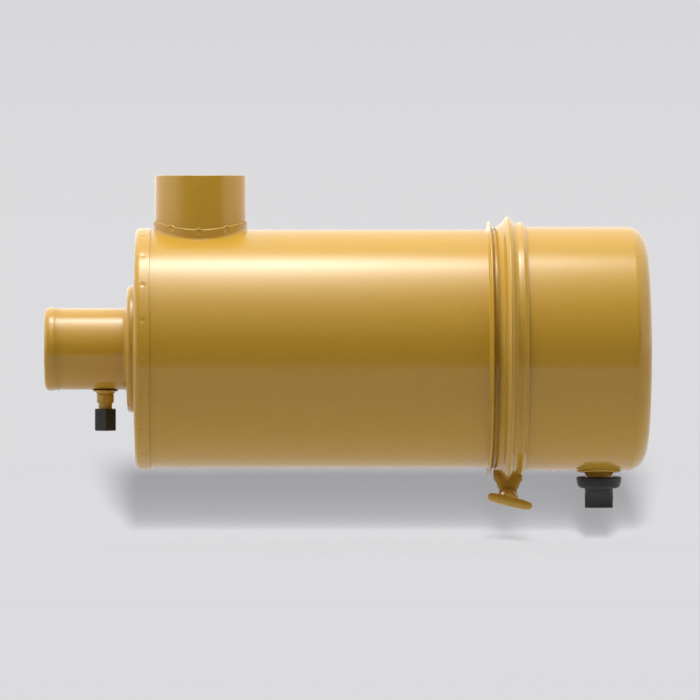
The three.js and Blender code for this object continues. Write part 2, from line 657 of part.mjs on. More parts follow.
// A lug narrows from the band's width to a round eye about the screw.
function clampLug(from, to) {
  const eye = LUG_WAIST_WIDTH / 2;
  const outline = new THREE.Shape();
  outline.moveTo(SCREW_X - LUG_TOP_WIDTH / 2, SCREW_Z + LUG_TOP_RISE);
  outline.lineTo(SCREW_X - LUG_SHOULDER_WIDTH / 2, SCREW_Z + LUG_SHOULDER_RISE);
  outline.lineTo(SCREW_X - eye, SCREW_Z + LUG_WAIST_RISE);
  outline.absarc(SCREW_X, SCREW_Z, eye, Math.PI, 2 * Math.PI, false);
  outline.lineTo(SCREW_X + eye, SCREW_Z + LUG_WAIST_RISE);
  outline.lineTo(SCREW_X + LUG_SHOULDER_WIDTH / 2, SCREW_Z + LUG_SHOULDER_RISE);
  outline.lineTo(SCREW_X + LUG_TOP_WIDTH / 2, SCREW_Z + LUG_TOP_RISE);
  const seat = bandOuter.map(([along, radius]) => [along, radius + JOINT_GAP]);
  const [left, right] = [-REACH, REACH];
  const band = turnedX(
    [[left, 0], [left, seat[0][1]], ...seat, [right, seat.at(-1)[1]], [right, 0]],
    BIG_SEGMENTS,
  );
  return cut(plateY(outline, from, to), band, looseHole());
}

const WASHER_OUTER = -LUG_OUTER - JOINT_GAP - WASHER_THICKNESS;
const SPACER_OUTER = WASHER_OUTER - JOINT_GAP - SPACER_LENGTH;
const HUB_INNER = SPACER_OUTER - JOINT_GAP;
const HUB_OUTER = HUB_INNER - HUB_LENGTH;
const SCREW_HEAD = HUB_INNER - HUB_SOCKET + JOINT_GAP;
const NUT_INNER = LUG_OUTER + JOINT_GAP;

const clampScrew = () => aboutScrew(rod(SCREW_HEAD, NUT_INNER + NUT_LENGTH + SCREW_TAIL, SCREW_RADIUS));

function clampNut() {
  const across = NUT_FLATS / Math.sqrt(3);
  const hex = new THREE.CylinderGeometry(across, across, NUT_LENGTH, 6);
  return cut(hex.translate(SCREW_X, NUT_INNER + NUT_LENGTH / 2, SCREW_Z), looseHole());
}

// The hub with its cross bar, turned a little from level.
function clampHandle() {
  const bar = new THREE.CapsuleGeometry(BAR_RADIUS, BAR_LENGTH - 2 * BAR_RADIUS, 3, 10)
    .rotateZ(Math.PI / 2)
    .translate(0, 0, -BAR_DROP)
    .rotateY(BAR_TILT)
    .translate(SCREW_X, HUB_OUTER + BAR_RADIUS, SCREW_Z);
  const hub = aboutScrew(rod(HUB_OUTER + HUB_RECESS, HUB_INNER, HUB_RADIUS));
  const socketRadius = SCREW_RADIUS + JOINT_GAP;
  const socket = aboutScrew(rod(HUB_INNER - HUB_SOCKET, HUB_INNER + OVERCUT, socketRadius));
  return cut(join(hub, bar), socket);
}

// ---- Yoke: a spider in the outlet that carries the rod ----
function spider() {
  const hub = turnedX(rod(SPIDER_X, SPIDER_X + SPIDER_WIDTH, SPIDER_HUB_RADIUS), SMALL_SEGMENTS);
  const arms = Array.from({ length: SPIDER_ARMS }, (_, i) => {
    const reach = OUTLET_BORE - PIN_GAP;
    return new THREE.BoxGeometry(SPIDER_WIDTH, SPIDER_THICKNESS, reach)
      .translate(SPIDER_X + SPIDER_WIDTH / 2, 0, reach / 2)
      .rotateX((2 * Math.PI * i) / SPIDER_ARMS);
  });
  const hole = turnedX(rod(-REACH, REACH, ROD_RADIUS + JOINT_GAP), SMALL_SEGMENTS);
  return cut(join(hub, ...arms), hole);
}

// ---- Elements ----
// Folded paper between two radii: outer and inner zigzags a sheet's thickness apart.
function pleatedPaper(start, end, inner, outer, pleats) {
  const zigzag = (low, high) =>
    Array.from({ length: 2 * pleats }, (_, i) => {
      const angle = (Math.PI * i) / pleats;
      const radius = i % 2 ? low : high;
      return new THREE.Vector2(radius * Math.cos(angle), radius * Math.sin(angle));
    });
  const shape = new THREE.Shape(zigzag(inner + PLEAT_SHEET, outer));
  shape.holes.push(new THREE.Path(zigzag(inner, outer - PLEAT_SHEET).reverse()));
  const paper = new THREE.ExtrudeGeometry(shape, { depth: end - start, bevelEnabled: false });
  return paper.rotateY(Math.PI / 2).translate(start, 0, 0);
}

const MEDIA_START = ELEMENT_START + ELEMENT_GASKET + ELEMENT_CAP + 3 * JOINT_GAP;
const CLOSED_CAP_START = ELEMENT_END - ELEMENT_CAP;
const MEDIA_END = CLOSED_CAP_START - JOINT_GAP;

// A disc with a hole for the rod.
const closedCap = (start, thickness, radius) =>
  tubeX(start, start + thickness, ROD_RADIUS + PIN_GAP, radius);

// The shroud shields the paper from the incoming air; the vane ring past its end sets the air spinning.
const SHROUD_END = INLET_X + INLET_RADIUS;

function vaneRing() {
  const start = SHROUD_END + JOINT_GAP;
  const hoop = tubeX(start, start + VANE_LENGTH, SHROUD_RADIUS, SHROUD_RADIUS + SHEET);
  const reach = VANE_RADIUS - SHROUD_RADIUS - SHEET / 2;
  const vanes = Array.from({ length: VANES }, (_, i) =>
    new THREE.BoxGeometry(VANE_LENGTH, VANE_THICKNESS, reach)
      .rotateZ(VANE_PITCH)
      .translate(start + VANE_LENGTH / 2, 0, SHROUD_RADIUS + SHEET / 2 + reach / 2)
      .rotateX((2 * Math.PI * i) / VANES),
  );
  return join(hoop, ...vanes);
}

const rodHole = () => turnedX(rod(-REACH, REACH, ROD_RADIUS + PIN_GAP), SMALL_SEGMENTS);

// A hub with two rounded wings, one on each side.
function wingNut(start) {
  const hub = turnedX(
    [
      [start, 0],
      [start, WING_HUB_RADIUS],
      [start + WING_LENGTH, WING_HUB_END],
      [start + WING_LENGTH, 0],
    ],
    SMALL_SEGMENTS,
  );
  const outline = new THREE.Shape();
  outline.moveTo(WING_ROOT, 0);
  outline.lineTo(...WING_SHOULDER);
  outline.lineTo(...WING_TOP);
  outline.quadraticCurveTo(...WING_CORNER, ...WING_TIP);
  outline.lineTo(WING_TOP[0], 0);
  const wing = (angle) =>
    new THREE.ExtrudeGeometry(outline, { depth: WING_THICKNESS, bevelEnabled: false, curveSegments: 4 })
      .translate(start, 0, -WING_THICKNESS / 2)
      .rotateX(angle);
  return cut(join(hub, wing(0), wing(Math.PI)), rodHole());
}

function hexNut(start, length, flats) {
  const across = flats / Math.sqrt(3);
  const hex = new THREE.CylinderGeometry(across, across, length, 6).rotateZ(-Math.PI / 2);
  return cut(hex.translate(start + length / 2, 0, 0), rodHole());
}

// ---- Assembly ----
add("barrel", barrel(), paint);
add("inlet_neck", inletNeck(), paint);
add("stop_rib", stopRib(), paint);
add("barrel_flange", barrelFlange(), paint);
add("outlet_head", outletHead(), paint);
add("outlet_tube", outletTube(), paint);
add("inlet_tube", inletTube(), paint);
add("port_flange", portFlange(), paint);
add("port_adapter", portAdapter(), paint);
add("port_cap", portCap(), blackPlastic);
add("yoke_spider", spider(), plated);
add("yoke_rod", turnedX(rod(ROD_START, ROD_END, ROD_RADIUS), SMALL_SEGMENTS), plated);

add("clamp_band_front", clampBand(-1), paint);
add("clamp_band_rear", clampBand(1), paint);
add("clamp_lug_front", clampLug(-LUG_OUTER, -LUG_INNER), paint);
add("clamp_lug_rear", clampLug(LUG_INNER, LUG_OUTER), paint);
add("clamp_washer", onScrew(WASHER_OUTER, -LUG_OUTER - JOINT_GAP, WASHER_RADIUS), paint);
add("clamp_spacer", onScrew(SPACER_OUTER, WASHER_OUTER - JOINT_GAP, SPACER_RADIUS), paint);
add("clamp_nut", clampNut(), paint);
add("clamp_screw", clampScrew(), paint);
add("clamp_handle", clampHandle(), paint);

add("cover", coverShell(), paint);
add("cover_gasket", coverGasket(), rubber);
add("cover_baffle", coverBaffle(), paint);
add("valve_spigot", valveSpigot(), paint);
add("unloader_valve", unloaderValve(), rubber);

const elementGasketEnd = ELEMENT_START + ELEMENT_GASKET;
const elementSeal = [ELEMENT_BORE + GASKET_MARGIN, ELEMENT_RADIUS - GASKET_MARGIN];
add("element_gasket", tubeX(ELEMENT_START, elementGasketEnd, ...elementSeal), rubber);
const openCapStart = elementGasketEnd + JOINT_GAP;
const openCapEnd = openCapStart + ELEMENT_CAP;
add("element_open_cap", tubeX(openCapStart, openCapEnd, ELEMENT_BORE, ELEMENT_CAP_RADIUS), plated);
add("element_inner_liner", tubeX(MEDIA_START, MEDIA_END, ELEMENT_BORE, ELEMENT_BORE + LINER), plated);
const paperInner = ELEMENT_BORE + LINER + PLEAT_MARGIN;
const paperOuter = ELEMENT_RADIUS - LINER - PLEAT_MARGIN;
add("element_paper", pleatedPaper(MEDIA_START, MEDIA_END, paperInner, paperOuter, PLEATS), paper);
add("element_outer_liner", tubeX(MEDIA_START, MEDIA_END, ELEMENT_RADIUS - LINER, ELEMENT_RADIUS), plated);
add("element_closed_cap", closedCap(CLOSED_CAP_START, ELEMENT_CAP, ELEMENT_CAP_RADIUS), plated);
add("shroud", tubeX(MEDIA_START, SHROUD_END, SHROUD_RADIUS, SHROUD_RADIUS + SHEET), vanePlastic);
add("vane_ring", vaneRing(), vanePlastic);
const sealStart = ELEMENT_END + JOINT_GAP;
const sealEnd = sealStart + SEAL_THICKNESS;
add("nut_seal", tubeX(sealStart, sealEnd, ROD_RADIUS + PIN_GAP, SEAL_RADIUS, SMALL_SEGMENTS), rubber);
add("wing_nut", wingNut(sealEnd + JOINT_GAP), plated);

const safetyGasketEnd = SAFETY_START + SAFETY_GASKET;
add("safety_gasket", tubeX(SAFETY_START, safetyGasketEnd, SAFETY_BORE, SAFETY_RADIUS), rubber);
const safetyCapStart = safetyGasketEnd + JOINT_GAP;
const safetyCapEnd = safetyCapStart + SAFETY_CAP;
add("safety_open_cap", tubeX(safetyCapStart, safetyCapEnd, SAFETY_BORE, SAFETY_CAP_RADIUS), plated);
const safetyClosedStart = SAFETY_END - SAFETY_CAP;
const safetyPaperEnd = safetyClosedStart - JOINT_GAP;
add("safety_paper", tubeX(safetyCapEnd + JOINT_GAP, safetyPaperEnd, SAFETY_BORE, SAFETY_RADIUS), paper);
add("safety_closed_cap", closedCap(safetyClosedStart, SAFETY_CAP, SAFETY_CAP_RADIUS), plated);
add("safety_nut", hexNut(SAFETY_END + JOINT_GAP, SAFETY_NUT_LENGTH, SAFETY_NUT_FLATS), plated);

export default part;
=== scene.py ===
"""A painted sheet-metal air cleaner lying on its side: barrel, outlet head, inlet, band clamp and cover."""
import math

import bmesh
import bpy
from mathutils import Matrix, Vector


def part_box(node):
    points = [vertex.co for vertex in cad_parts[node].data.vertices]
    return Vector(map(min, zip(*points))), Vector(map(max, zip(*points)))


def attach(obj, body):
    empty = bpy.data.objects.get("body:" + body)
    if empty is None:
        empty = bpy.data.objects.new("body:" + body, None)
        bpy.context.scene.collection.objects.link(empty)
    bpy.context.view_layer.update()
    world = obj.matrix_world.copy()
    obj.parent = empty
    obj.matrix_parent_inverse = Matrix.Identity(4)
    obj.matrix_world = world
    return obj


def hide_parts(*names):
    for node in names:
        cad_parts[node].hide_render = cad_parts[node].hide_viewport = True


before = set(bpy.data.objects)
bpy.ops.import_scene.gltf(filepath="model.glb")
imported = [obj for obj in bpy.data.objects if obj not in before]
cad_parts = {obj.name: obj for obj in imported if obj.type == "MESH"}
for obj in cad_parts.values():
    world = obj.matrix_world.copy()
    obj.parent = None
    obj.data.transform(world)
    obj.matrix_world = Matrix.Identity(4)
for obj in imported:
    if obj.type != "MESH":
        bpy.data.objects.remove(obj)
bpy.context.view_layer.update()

MM = 0.001  # metres in a millimetre; the object's lengths below are in millimetres
SEGMENTS = 256  # steps of a full turn
REACH = 400.0  # longer than anything that a cutting tool passes through


# ---- Frame ----
def span(node):
    """The lowest and highest corner of a CAD node in millimetres."""
    low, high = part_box(node)
    return low / MM, high / MM


def bore_of(node):
    """The smallest distance of a CAD node's vertices from the barrel's axis, in millimetres."""
    return min(math.hypot(v.co.y, v.co.z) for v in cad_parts[node].data.vertices) / MM


# ---- Node trees ----
def build_nodes(tree):
    """A helper that adds a node with its settings and its inputs, which are values or other outputs."""
    tree.nodes.clear()

    def add(kind, settings=None, **inputs):
        node = tree.nodes.new(kind)
        for key, value in (settings or {}).items():
            setattr(node, key, value)
        for key, value in inputs.items():
            numbered = key[0] == "i" and key[1:].isdigit()
            socket = node.inputs[int(key[1:]) if numbered else key.replace("_", " ")]
            if isinstance(value, bpy.types.NodeSocket):
                tree.links.new(value, socket)
            else:
                socket.default_value = value
        return node

    return add


def node_helper(owner):
    """The helper for a new material, world or light."""
    owner.use_nodes = True
    return build_nodes(owner.node_tree)


def blend(add, share, first, second):
    """A colour mixed from two, each a tone or another node's output."""
    ends = [c if isinstance(c, bpy.types.NodeSocket) else (*c, 1.0) for c in (first, second)]
    return add("ShaderNodeMix", {"data_type": "RGBA"}, i0=share, i6=ends[0], i7=ends[1]).outputs[2]


def remap(add, value, low, high, from_low=0.3, from_high=0.7, kind="LINEAR"):
    return add(
        "ShaderNodeMapRange", {"interpolation_type": kind}, Value=value,
        From_Min=from_low, From_Max=from_high, To_Min=low, To_Max=high,
    ).outputs[0]


def maths(add, operation, *values):
    inputs = {f"i{i}": value for i, value in enumerate(values)}
    return add("ShaderNodeMath", {"operation": operation}, **inputs).outputs[0]


def material(name, slot, tones, rough, grain, bump, patch_scale=4.0, spangled=False, metallic=0.0,
             specular=0.5, sheen=0.0, stretch=(1.0, 1.0, 1.0), edge=None):
    """A finish: a procedural material and the slot that it fills.

    It has two tones that drift in patches, a range of roughness, and a grain of a given scale (per metre) and
    height (mm). Exposed edges may take a lighter tone, which is a painted highlight along them.
    """
    made = bpy.data.materials.new(name)
    add = node_helper(made)
    coordinates = add("ShaderNodeTexCoord").outputs["Object"]
    placed = add("ShaderNodeMapping", Vector=coordinates, Scale=stretch).outputs[0]
    patches = add("ShaderNodeTexNoise", Vector=coordinates, Scale=patch_scale, Detail=3.0, Roughness=0.5)
    if spangled:
        cells = add("ShaderNodeTexVoronoi", {"feature": "F1"}, Vector=placed, Scale=grain)
        fine = add("ShaderNodeSeparateColor", Color=cells.outputs["Color"]).outputs[0]
        brightness = remap(add, fine, 0.82, 1.12, 0.0, 1.0)
    else:
        noise = add("ShaderNodeTexNoise", Vector=placed, Scale=grain, Detail=4.0, Roughness=0.55)
        fine = noise.outputs["Fac"]
        brightness = remap(add, fine, 0.97, 1.03)
    colour = blend(add, patches.outputs["Fac"], *tones)
    tinted = add("ShaderNodeHueSaturation", Color=colour, Value=brightness).outputs[0]
    # The lighter tone along sharp edges is a painted highlight, not a colour of the material.
    if edge:
        painted_edge_highlight = add("ShaderNodeNewGeometry").outputs["Pointiness"]
        tinted = blend(add, remap(add, painted_edge_highlight, 0.0, 1.0, 0.54, 0.62), tinted, edge)
    mottle = add("ShaderNodeTexNoise", Vector=placed, Scale=grain * 0.11, Detail=2.0).outputs["Fac"]
    shader = add(
        "ShaderNodeBsdfPrincipled",
        Base_Color=tinted,
        Roughness=remap(add, mottle, *rough),
        Normal=add("ShaderNodeBump", Strength=1.0, Distance=bump * MM, Height=fine).outputs[0],
        Metallic=metallic,
        Specular_IOR_Level=specular,
        Sheen_Weight=sheen,
    )
    add("ShaderNodeOutputMaterial", Surface=shader.outputs[0])
    return made, slot


# Each edge tone below is a painted highlight that lightens the sharp edges.
PAINT = material(
    "enamel", "paint", [(0.525, 0.296, 0.030), (0.548, 0.309, 0.033)], (0.13, 0.19), 420.0, 0.012,
)
CAST_PAINT = material(
    "enamel_on_casting", "paint", [(0.510, 0.285, 0.031), (0.556, 0.315, 0.036)], (0.22, 0.34), 900.0, 0.05,
    edge=(0.70, 0.42, 0.09),
)
RUBBER = material(
    "moulded_rubber", "rubber", [(0.011, 0.011, 0.011), (0.020, 0.020, 0.021)], (0.48, 0.66), 1600.0, 0.03,
    patch_scale=22.0, edge=(0.045, 0.045, 0.047),
)
PLASTIC = material(
    "moulded_plastic", "black_plastic", [(0.012, 0.012, 0.012), (0.019, 0.019, 0.020)], (0.38, 0.5),
    2200.0, 0.02, patch_scale=40.0, edge=(0.05, 0.05, 0.05),
)
PLATED = material(
    "zinc_plate", "plated_steel", [(0.56, 0.56, 0.55), (0.66, 0.65, 0.62)], (0.24, 0.42), 700.0, 0.012,
    patch_scale=14.0, metallic=1.0, edge=(0.78, 0.78, 0.78),
)
GALVANISED = material(
    "galvanised_steel", "liner_steel", [(0.50, 0.52, 0.54), (0.64, 0.65, 0.67)], (0.3, 0.5), 120.0, 0.01,
    patch_scale=9.0, spangled=True, metallic=1.0,
)
PAPER = material(
    "filter_paper", "filter_paper", [(0.66, 0.57, 0.36), (0.74, 0.66, 0.45)], (0.86, 0.96), 1900.0, 0.12,
    patch_scale=18.0, sheen=0.15, specular=0.2, stretch=(0.35, 1.0, 1.0),
)
VANE = material(
    "vane_plastic", "vane_plastic", [(0.026, 0.032, 0.038), (0.036, 0.043, 0.049)], (0.42, 0.58),
    1300.0, 0.03, patch_scale=16.0,
)


# ---- Meshes ----
def soften(points, radii, steps=6, closed=True):
    """The outline with a round fillet at each corner; one radius, or one for each point."""
    count = len(points)
    radii = radii if isinstance(radii, (list, tuple)) else [radii] * count
    out = []
    for i, (point, radius) in enumerate(zip(points, radii)):
        ends = not closed and i in (0, count - 1)
        here = Vector(point)
        before, after = Vector(points[i - 1]) - here, Vector(points[(i + 1) % count]) - here
        if ends or radius <= 0 or before.length == 0 or after.length == 0:
            out.append(tuple(here))
            continue
        half = before.angle(after) / 2
        if half > math.pi / 2 - 0.005:
            out.append(tuple(here))
            continue
        reach = min(radius / math.tan(half), 0.49 * before.length, 0.49 * after.length)
        radius = reach * math.tan(half)
        middle = here + (before.normalized() + after.normalized()).normalized() * (radius / math.sin(half))
        first = here + before.normalized() * reach - middle
        last = here + after.normalized() * reach - middle
        start, turn = math.atan2(first.y, first.x), first.angle_signed(last)
        for k in range(steps + 1):
            angle = start - turn * k / steps
            out.append((middle.x + radius * math.cos(angle), middle.y + radius * math.sin(angle)))
    return out


def dense(points, step):
    """The open outline with its long stretches divided."""
    out = []
    for a, b in zip(points, points[1:]):
        count = max(1, math.ceil(math.dist(a, b) / step))
        out += [(a[0] + (b[0] - a[0]) * k / count, a[1] + (b[1] - a[1]) * k / count) for k in range(count)]
    return out + [points[-1]]


def spline(points, steps=8):
    """A smooth curve through the points."""
    padded = [points[0], *points, points[-1]]
    out = []
    for i in range(1, len(padded) - 2):
        p0, p1, p2, p3 = (Vector(padded[i + k]) for k in (-1, 0, 1, 2))
        for k in range(steps):
            t = k / steps
            out.append(tuple(
                0.5 * (2 * p1 + (p2 - p0) * t + (2 * p0 - 5 * p1 + 4 * p2 - p3) * t**2
                       + (3 * p1 - p0 - 3 * p2 + p3) * t**3)
            ))
    return out + [tuple(points[-1])]


def skin(path, thickness):
    """A closed outline: the path, and the same path a sheet's thickness to its right, with round edges."""
    count = len(path)
    normals = []
    for i in range(count):
        along = Vector(path[min(i + 1, count - 1)]) - Vector(path[max(i - 1, 0)])
        along.normalize()
        normals.append(Vector((along.y, -along.x)))
    other = [tuple(Vector(p) + n * thickness) for p, n in zip(path, normals)]
    edge = min(0.3, 0.3 * thickness)

    def cap(p, q, outward):
        p, q = Vector(p), Vector(q)
        return [tuple(p.lerp(q, 0.12) + outward * edge), tuple(p.lerp(q, 0.5) + outward * edge * 1.5),
                tuple(p.lerp(q, 0.88) + outward * edge)]

    def heading(i, j):
        return (Vector(path[i]) - Vector(path[j])).normalized()

    return [*path, *cap(path[-1], other[-1], heading(-1, -2)), *reversed(other),
            *cap(other[0], path[0], heading(0, 1))]


AXES = {
    "X": lambda a, r, t: (a, r * math.cos(t), r * math.sin(t)),
    "Y": lambda a, r, t: (r * math.cos(t), a, r * math.sin(t)),
    "Z": lambda a, r, t: (r * math.cos(t), r * math.sin(t), a),
}
CORNER = math.pi / 6  # from the middle of a hexagon's side to its corner


def plain_ring(low, high, inner, outer):
    """The outline of a ring or a disc: its ends along its axis, and its two radii."""
    return [(low, inner), (low, outer), (high, outer), (high, inner)]


def about(axis, centre=(0, 0, 0)):
    """A function that places a point by its distance along an axis, its radius and its turn."""
    return lambda along, radius, turn: [c + v for c, v in zip(centre, AXES[axis](along, radius, turn))]


def circle(place, along, radius, count=96, turn=0.0):
    return [place(along, radius, math.tau * k / count + turn) for k in range(count)]


def hexagon(place, along, flat, limit, count=96, turn=0.0):
    """A hexagon whose sides are flat from its middle, with its corners cut round at a limit."""
    points = []
    for k in range(count):
        angle = math.tau * k / count
        local = (angle + CORNER) % (2 * CORNER) - CORNER
        points.append(place(along, min(flat / math.cos(local), limit), angle + turn))
    return points


def turned(section, turn):
    """Points of (x, side, out) turned about the barrel's axis."""
    c, s = math.cos(turn), math.sin(turn)
    return [(x, out * c - side * s, out * s + side * c) for x, side, out in section]


def lathe(outline, axis="X", centre=(0, 0, 0), segments=SEGMENTS, shape=None):
    """A closed outline of (along, radius) points turned about an axis, whose points shape() may move."""
    place, count = about(axis, centre), len(outline)
    verts, faces = [], []
    for j in range(segments):
        turn = 2 * math.pi * j / segments
        for along, radius in outline:
            if shape:
                along, radius = shape(along, radius, turn)
            verts.append(place(along, radius, turn))
    for j in range(segments):
        following = (j + 1) % segments
        for i in range(count):
            k = (i + 1) % count
            if outline[i][1] or outline[k][1]:
                faces.append((j * count + i, j * count + k, following * count + k, following * count + i))
    return verts, faces


def loft(loops, ring=False, caps=True):
    """Faces between loops of equal length; ring joins the last loop to the first."""
    count, verts, faces = len(loops[0]), [v for loop in loops for v in loop], []
    for i in range(len(loops) if ring else len(loops) - 1):
        a, b = i * count, ((i + 1) % len(loops)) * count
        faces += [(a + k, a + (k + 1) % count, b + (k + 1) % count, b + k) for k in range(count)]
    if caps and not ring:
        faces += [tuple(range(count)), tuple(range(len(verts) - count, len(verts)))]
    return verts, faces


def together(*parts):
    """Several sets of vertices and faces as one."""
    verts, faces = [], []
    for v, f in parts:
        faces += [tuple(i + len(verts) for i in face) for face in f]
        verts += v
    return verts, faces


def finish_mesh(mesh, sharp):
    mesh.shade_smooth()
    mesh.set_sharp_from_angle(angle=math.radians(sharp))


def plain_object(name, geometry):
    verts, faces = geometry
    bm = bmesh.new()
    made = [bm.verts.new(Vector(v) * MM) for v in verts]
    for face in faces:
        bm.faces.new([made[i] for i in face])
    bmesh.ops.remove_doubles(bm, verts=bm.verts, dist=1e-6)
    bmesh.ops.dissolve_degenerate(bm, dist=1e-7, edges=bm.edges)
    bmesh.ops.recalc_face_normals(bm, faces=bm.faces)
    mesh = bpy.data.meshes.new(name)
    bm.to_mesh(mesh)
    bm.free()
    made = bpy.data.objects.new(name, mesh)
    bpy.context.scene.collection.objects.link(made)
    return made


def apply_modifiers(thing):
    bpy.context.view_layer.update()
    graph = bpy.context.evaluated_depsgraph_get()
    mesh = bpy.data.meshes.new_from_object(thing.evaluated_get(graph))
    old = thing.data
    thing.modifiers.clear()
    thing.data = mesh
    bpy.data.meshes.remove(old)


def cut(thing, *tools):
    """Takes the tools out of a thing."""
    for tool in tools:
        cutter = plain_object("cutter", tool)
        change = thing.modifiers.new("cut", "BOOLEAN")
        change.operation, change.solver, change.object = "DIFFERENCE", "EXACT", cutter
        apply_modifiers(thing)
        bpy.data.objects.remove(cutter)


VOXEL = 0.45 * MM  # the grid on which forged pieces are melted together


def forge(name, geometry, passes):
    """Solids that overlap, melted into one body with soft edges."""
    made = plain_object(name, geometry)
    change = made.modifiers.new("one_body", "REMESH")
    change.mode, change.voxel_size = "VOXEL", VOXEL
    even = made.modifiers.new("cast", "SMOOTH")
    even.factor, even.iterations = 0.5, passes
    apply_modifiers(made)
    return made


def hand_in(thing, body, finish, stands_for, sharp=35):
    skin_material, slot = finish
    thing.data.materials.clear()
    thing.data.materials.append(skin_material)
    finish_mesh(thing.data, sharp)
    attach(thing, body)
    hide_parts(*stands_for)
    return thing


def piece(name, geometry, body, finish, stands_for, sharp=35):
    return hand_in(plain_object(name, geometry), body, finish, stands_for, sharp)


def ring(name, node, body, finish, edge=0.5, bore=None):
    """A CAD ring or disc about the barrel's axis with its edges rounded."""
    low, high = span(node)
    inner = bore_of(node) if bore is None else bore
    outline = soften(plain_ring(low.x, high.x, inner, high.z), [edge * 0.6, edge, edge, edge * 0.6])
    return piece(name, lathe(outline, segments=192), body, finish, [node])


# ---- Barrel ----
SHEET = 1.6
barrel_low, barrel_high = span("barrel")
BARREL = barrel_high.z
neck_low, neck_high = span("inlet_neck")
INLET_X = (neck_low.x + neck_high.x) / 2
NECK = (neck_high.x - neck_low.x) / 2
inlet_low, inlet_high = span("inlet_tube")
INLET = (inlet_high.x - inlet_low.x) / 2


def radial(thing):
    """Gives a sheet rolled about the barrel's axis the normals of a true cylinder."""
    mesh = thing.data
    finish_mesh(mesh, 35)
    normals = [Vector(n.vector) for n in mesh.corner_normals]
    for face in mesh.polygons:
        centre = Vector((0, face.center.y, face.center.z))
        if abs(face.normal.x) > 0.5 or centre.length == 0:
            continue
        away = face.normal.dot(centre.normalized())
        if abs(away) < 0.97:
            continue
        for i in face.loop_indices:
            co = mesh.vertices[mesh.loops[i].vertex_index].co
            normals[i] = Vector((0, co.y, co.z)).normalized() * math.copysign(1, away)
    mesh.normals_split_custom_set(normals)


outline = soften(plain_ring(barrel_low.x, barrel_high.x, BARREL - SHEET, BARREL), 0.45, steps=3)
barrel = plain_object("barrel_shell", lathe(dense([*outline, outline[0]], 24.0)[:-1], segments=320))
cut(barrel, lathe(plain_ring(0, REACH, 0, INLET + 0.3), "Z", (INLET_X, 0, 0), 160))
hand_in(barrel, "housing", PAINT, ["barrel"])
radial(barrel)

# The rolled stop rib: a fold of the sheet that stands off the barrel with a round crest.
rib_low, rib_high = span("stop_rib")
RIB_X = (rib_low.x + rib_high.x) / 2 + 1.2
RIB_FOOT = 4.6  # half of the fold's width where it leaves the barrel
RIB_FLANK = [
    (RIB_FOOT, BARREL - 0.4), (3.6, BARREL + 0.9), (2.4, BARREL + 4.2),
    (1.5, rib_high.z - 2.6), (0.9, rib_high.z - 0.5),
]
rib = [(RIB_X - off, r) for off, r in RIB_FLANK] + [(RIB_X, rib_high.z)]
rib += [(RIB_X + off, r) for off, r in reversed(RIB_FLANK)]
rib_outline = [(x, min(r, rib_high.z)) for x, r in spline(rib, 5)]
piece("stop_rib_roll", lathe([*rib_outline, (RIB_X, BARREL - 1.0)]), "housing", PAINT, ["stop_rib"], 60)
ring("barrel_flange_roll", "barrel_flange", "housing", PAINT, 0.9, BARREL - 0.2)

# ---- Inlet ----
WELD_RADIUS = 4.6  # mm, a spot weld's dimple
NECK_WELDS = 10
NECK_WELD_TURN = math.radians(-91.5)


def dimple(distance, depth):
    """How far a spot weld pushes the sheet in, with a faint raised rim."""
    share = distance / WELD_RADIUS
    if share > 1.6:
        return 0.0
    dish = depth * (1 - share * share) ** 2 if share < 1 else 0.0
    return dish - 0.22 * depth * math.exp(-(((share - 1.08) / 0.2) ** 2))


def off_pitch(angle, first, count):
    """The turn from an angle to the nearest of the welds, which stand at an even pitch."""
    step = math.tau / count
    return (angle - first + step / 2) % step - step / 2


def inlet_tube():
    outline = soften(plain_ring(inlet_low.z, inlet_high.z, INLET - SHEET, INLET), [0.2, 0.2, 1.25, 0.3])
    tube = plain_object("inlet_pipe", lathe(outline, "Z", (INLET_X, 0, 0), 224))
    cut(tube, lathe(plain_ring(-REACH, REACH, 0, BARREL - SHEET), segments=320))
    return hand_in(tube, "housing", PAINT, ["inlet_tube"])


NECK_WALL, NECK_RISE = 1.4, 11.5  # the collar's sheet, and how far its upper edge stands off the barrel
PEAK_LIFT, PEAK_WIDTH = 1.9, 2.6  # the bead that lifts the edge over each weld
WELD_DROP, WELD_DEPTH = 3.4, 0.75  # a weld's middle below the edge, and how deep it is
FLARE, FLARE_HEIGHT = 1.1, 1.3  # the foot turns out where it meets the barrel
CURL, CURL_HEIGHT = 0.8, 0.9  # the upper edge turns in
NECK_STEPS, NECK_ROWS = 480, 14


def neck():
    """The welded collar: its foot and its upper edge both follow the barrel's curve."""
    rows = [*(k / NECK_ROWS for k in range(NECK_ROWS)), 0.95, 0.97, 0.985, 1.0]
    outer, inner = [], []
    for share in rows:
        for radius, loops, outside in ((NECK, outer, 1.0), (NECK - NECK_WALL, inner, 0.0)):
            loop = []
            for j in range(NECK_STEPS):
                angle = 2 * math.pi * j / NECK_STEPS
                off = NECK * off_pitch(angle, NECK_WELD_TURN, NECK_WELDS)
                lift = PEAK_LIFT * math.exp(-((off / PEAK_WIDTH) ** 2))
                y = radius * math.sin(angle)
                foot = math.sqrt((BARREL - 0.3) ** 2 - y * y)
                crest = min(math.sqrt((BARREL + NECK_RISE) ** 2 - y * y) + lift, neck_high.z)
                z = foot + (crest - foot) * share
                weld = dimple(math.hypot(off, z - (crest - lift - WELD_DROP)), WELD_DEPTH)
                flare = outside * FLARE * math.exp(-(((z - foot) / FLARE_HEIGHT) ** 2))
                curl = outside * CURL * max(0.0, 1 - (crest - z) / CURL_HEIGHT) ** 2
                reach = radius - weld + flare - curl
                loop.append((INLET_X + reach * math.cos(angle), reach * math.sin(angle), z))
            loops.append(loop)
    return loft([*outer, *reversed(inner)], ring=True)


inlet_tube()
piece("inlet_collar", neck(), "housing", PAINT, ["inlet_neck"], 50)

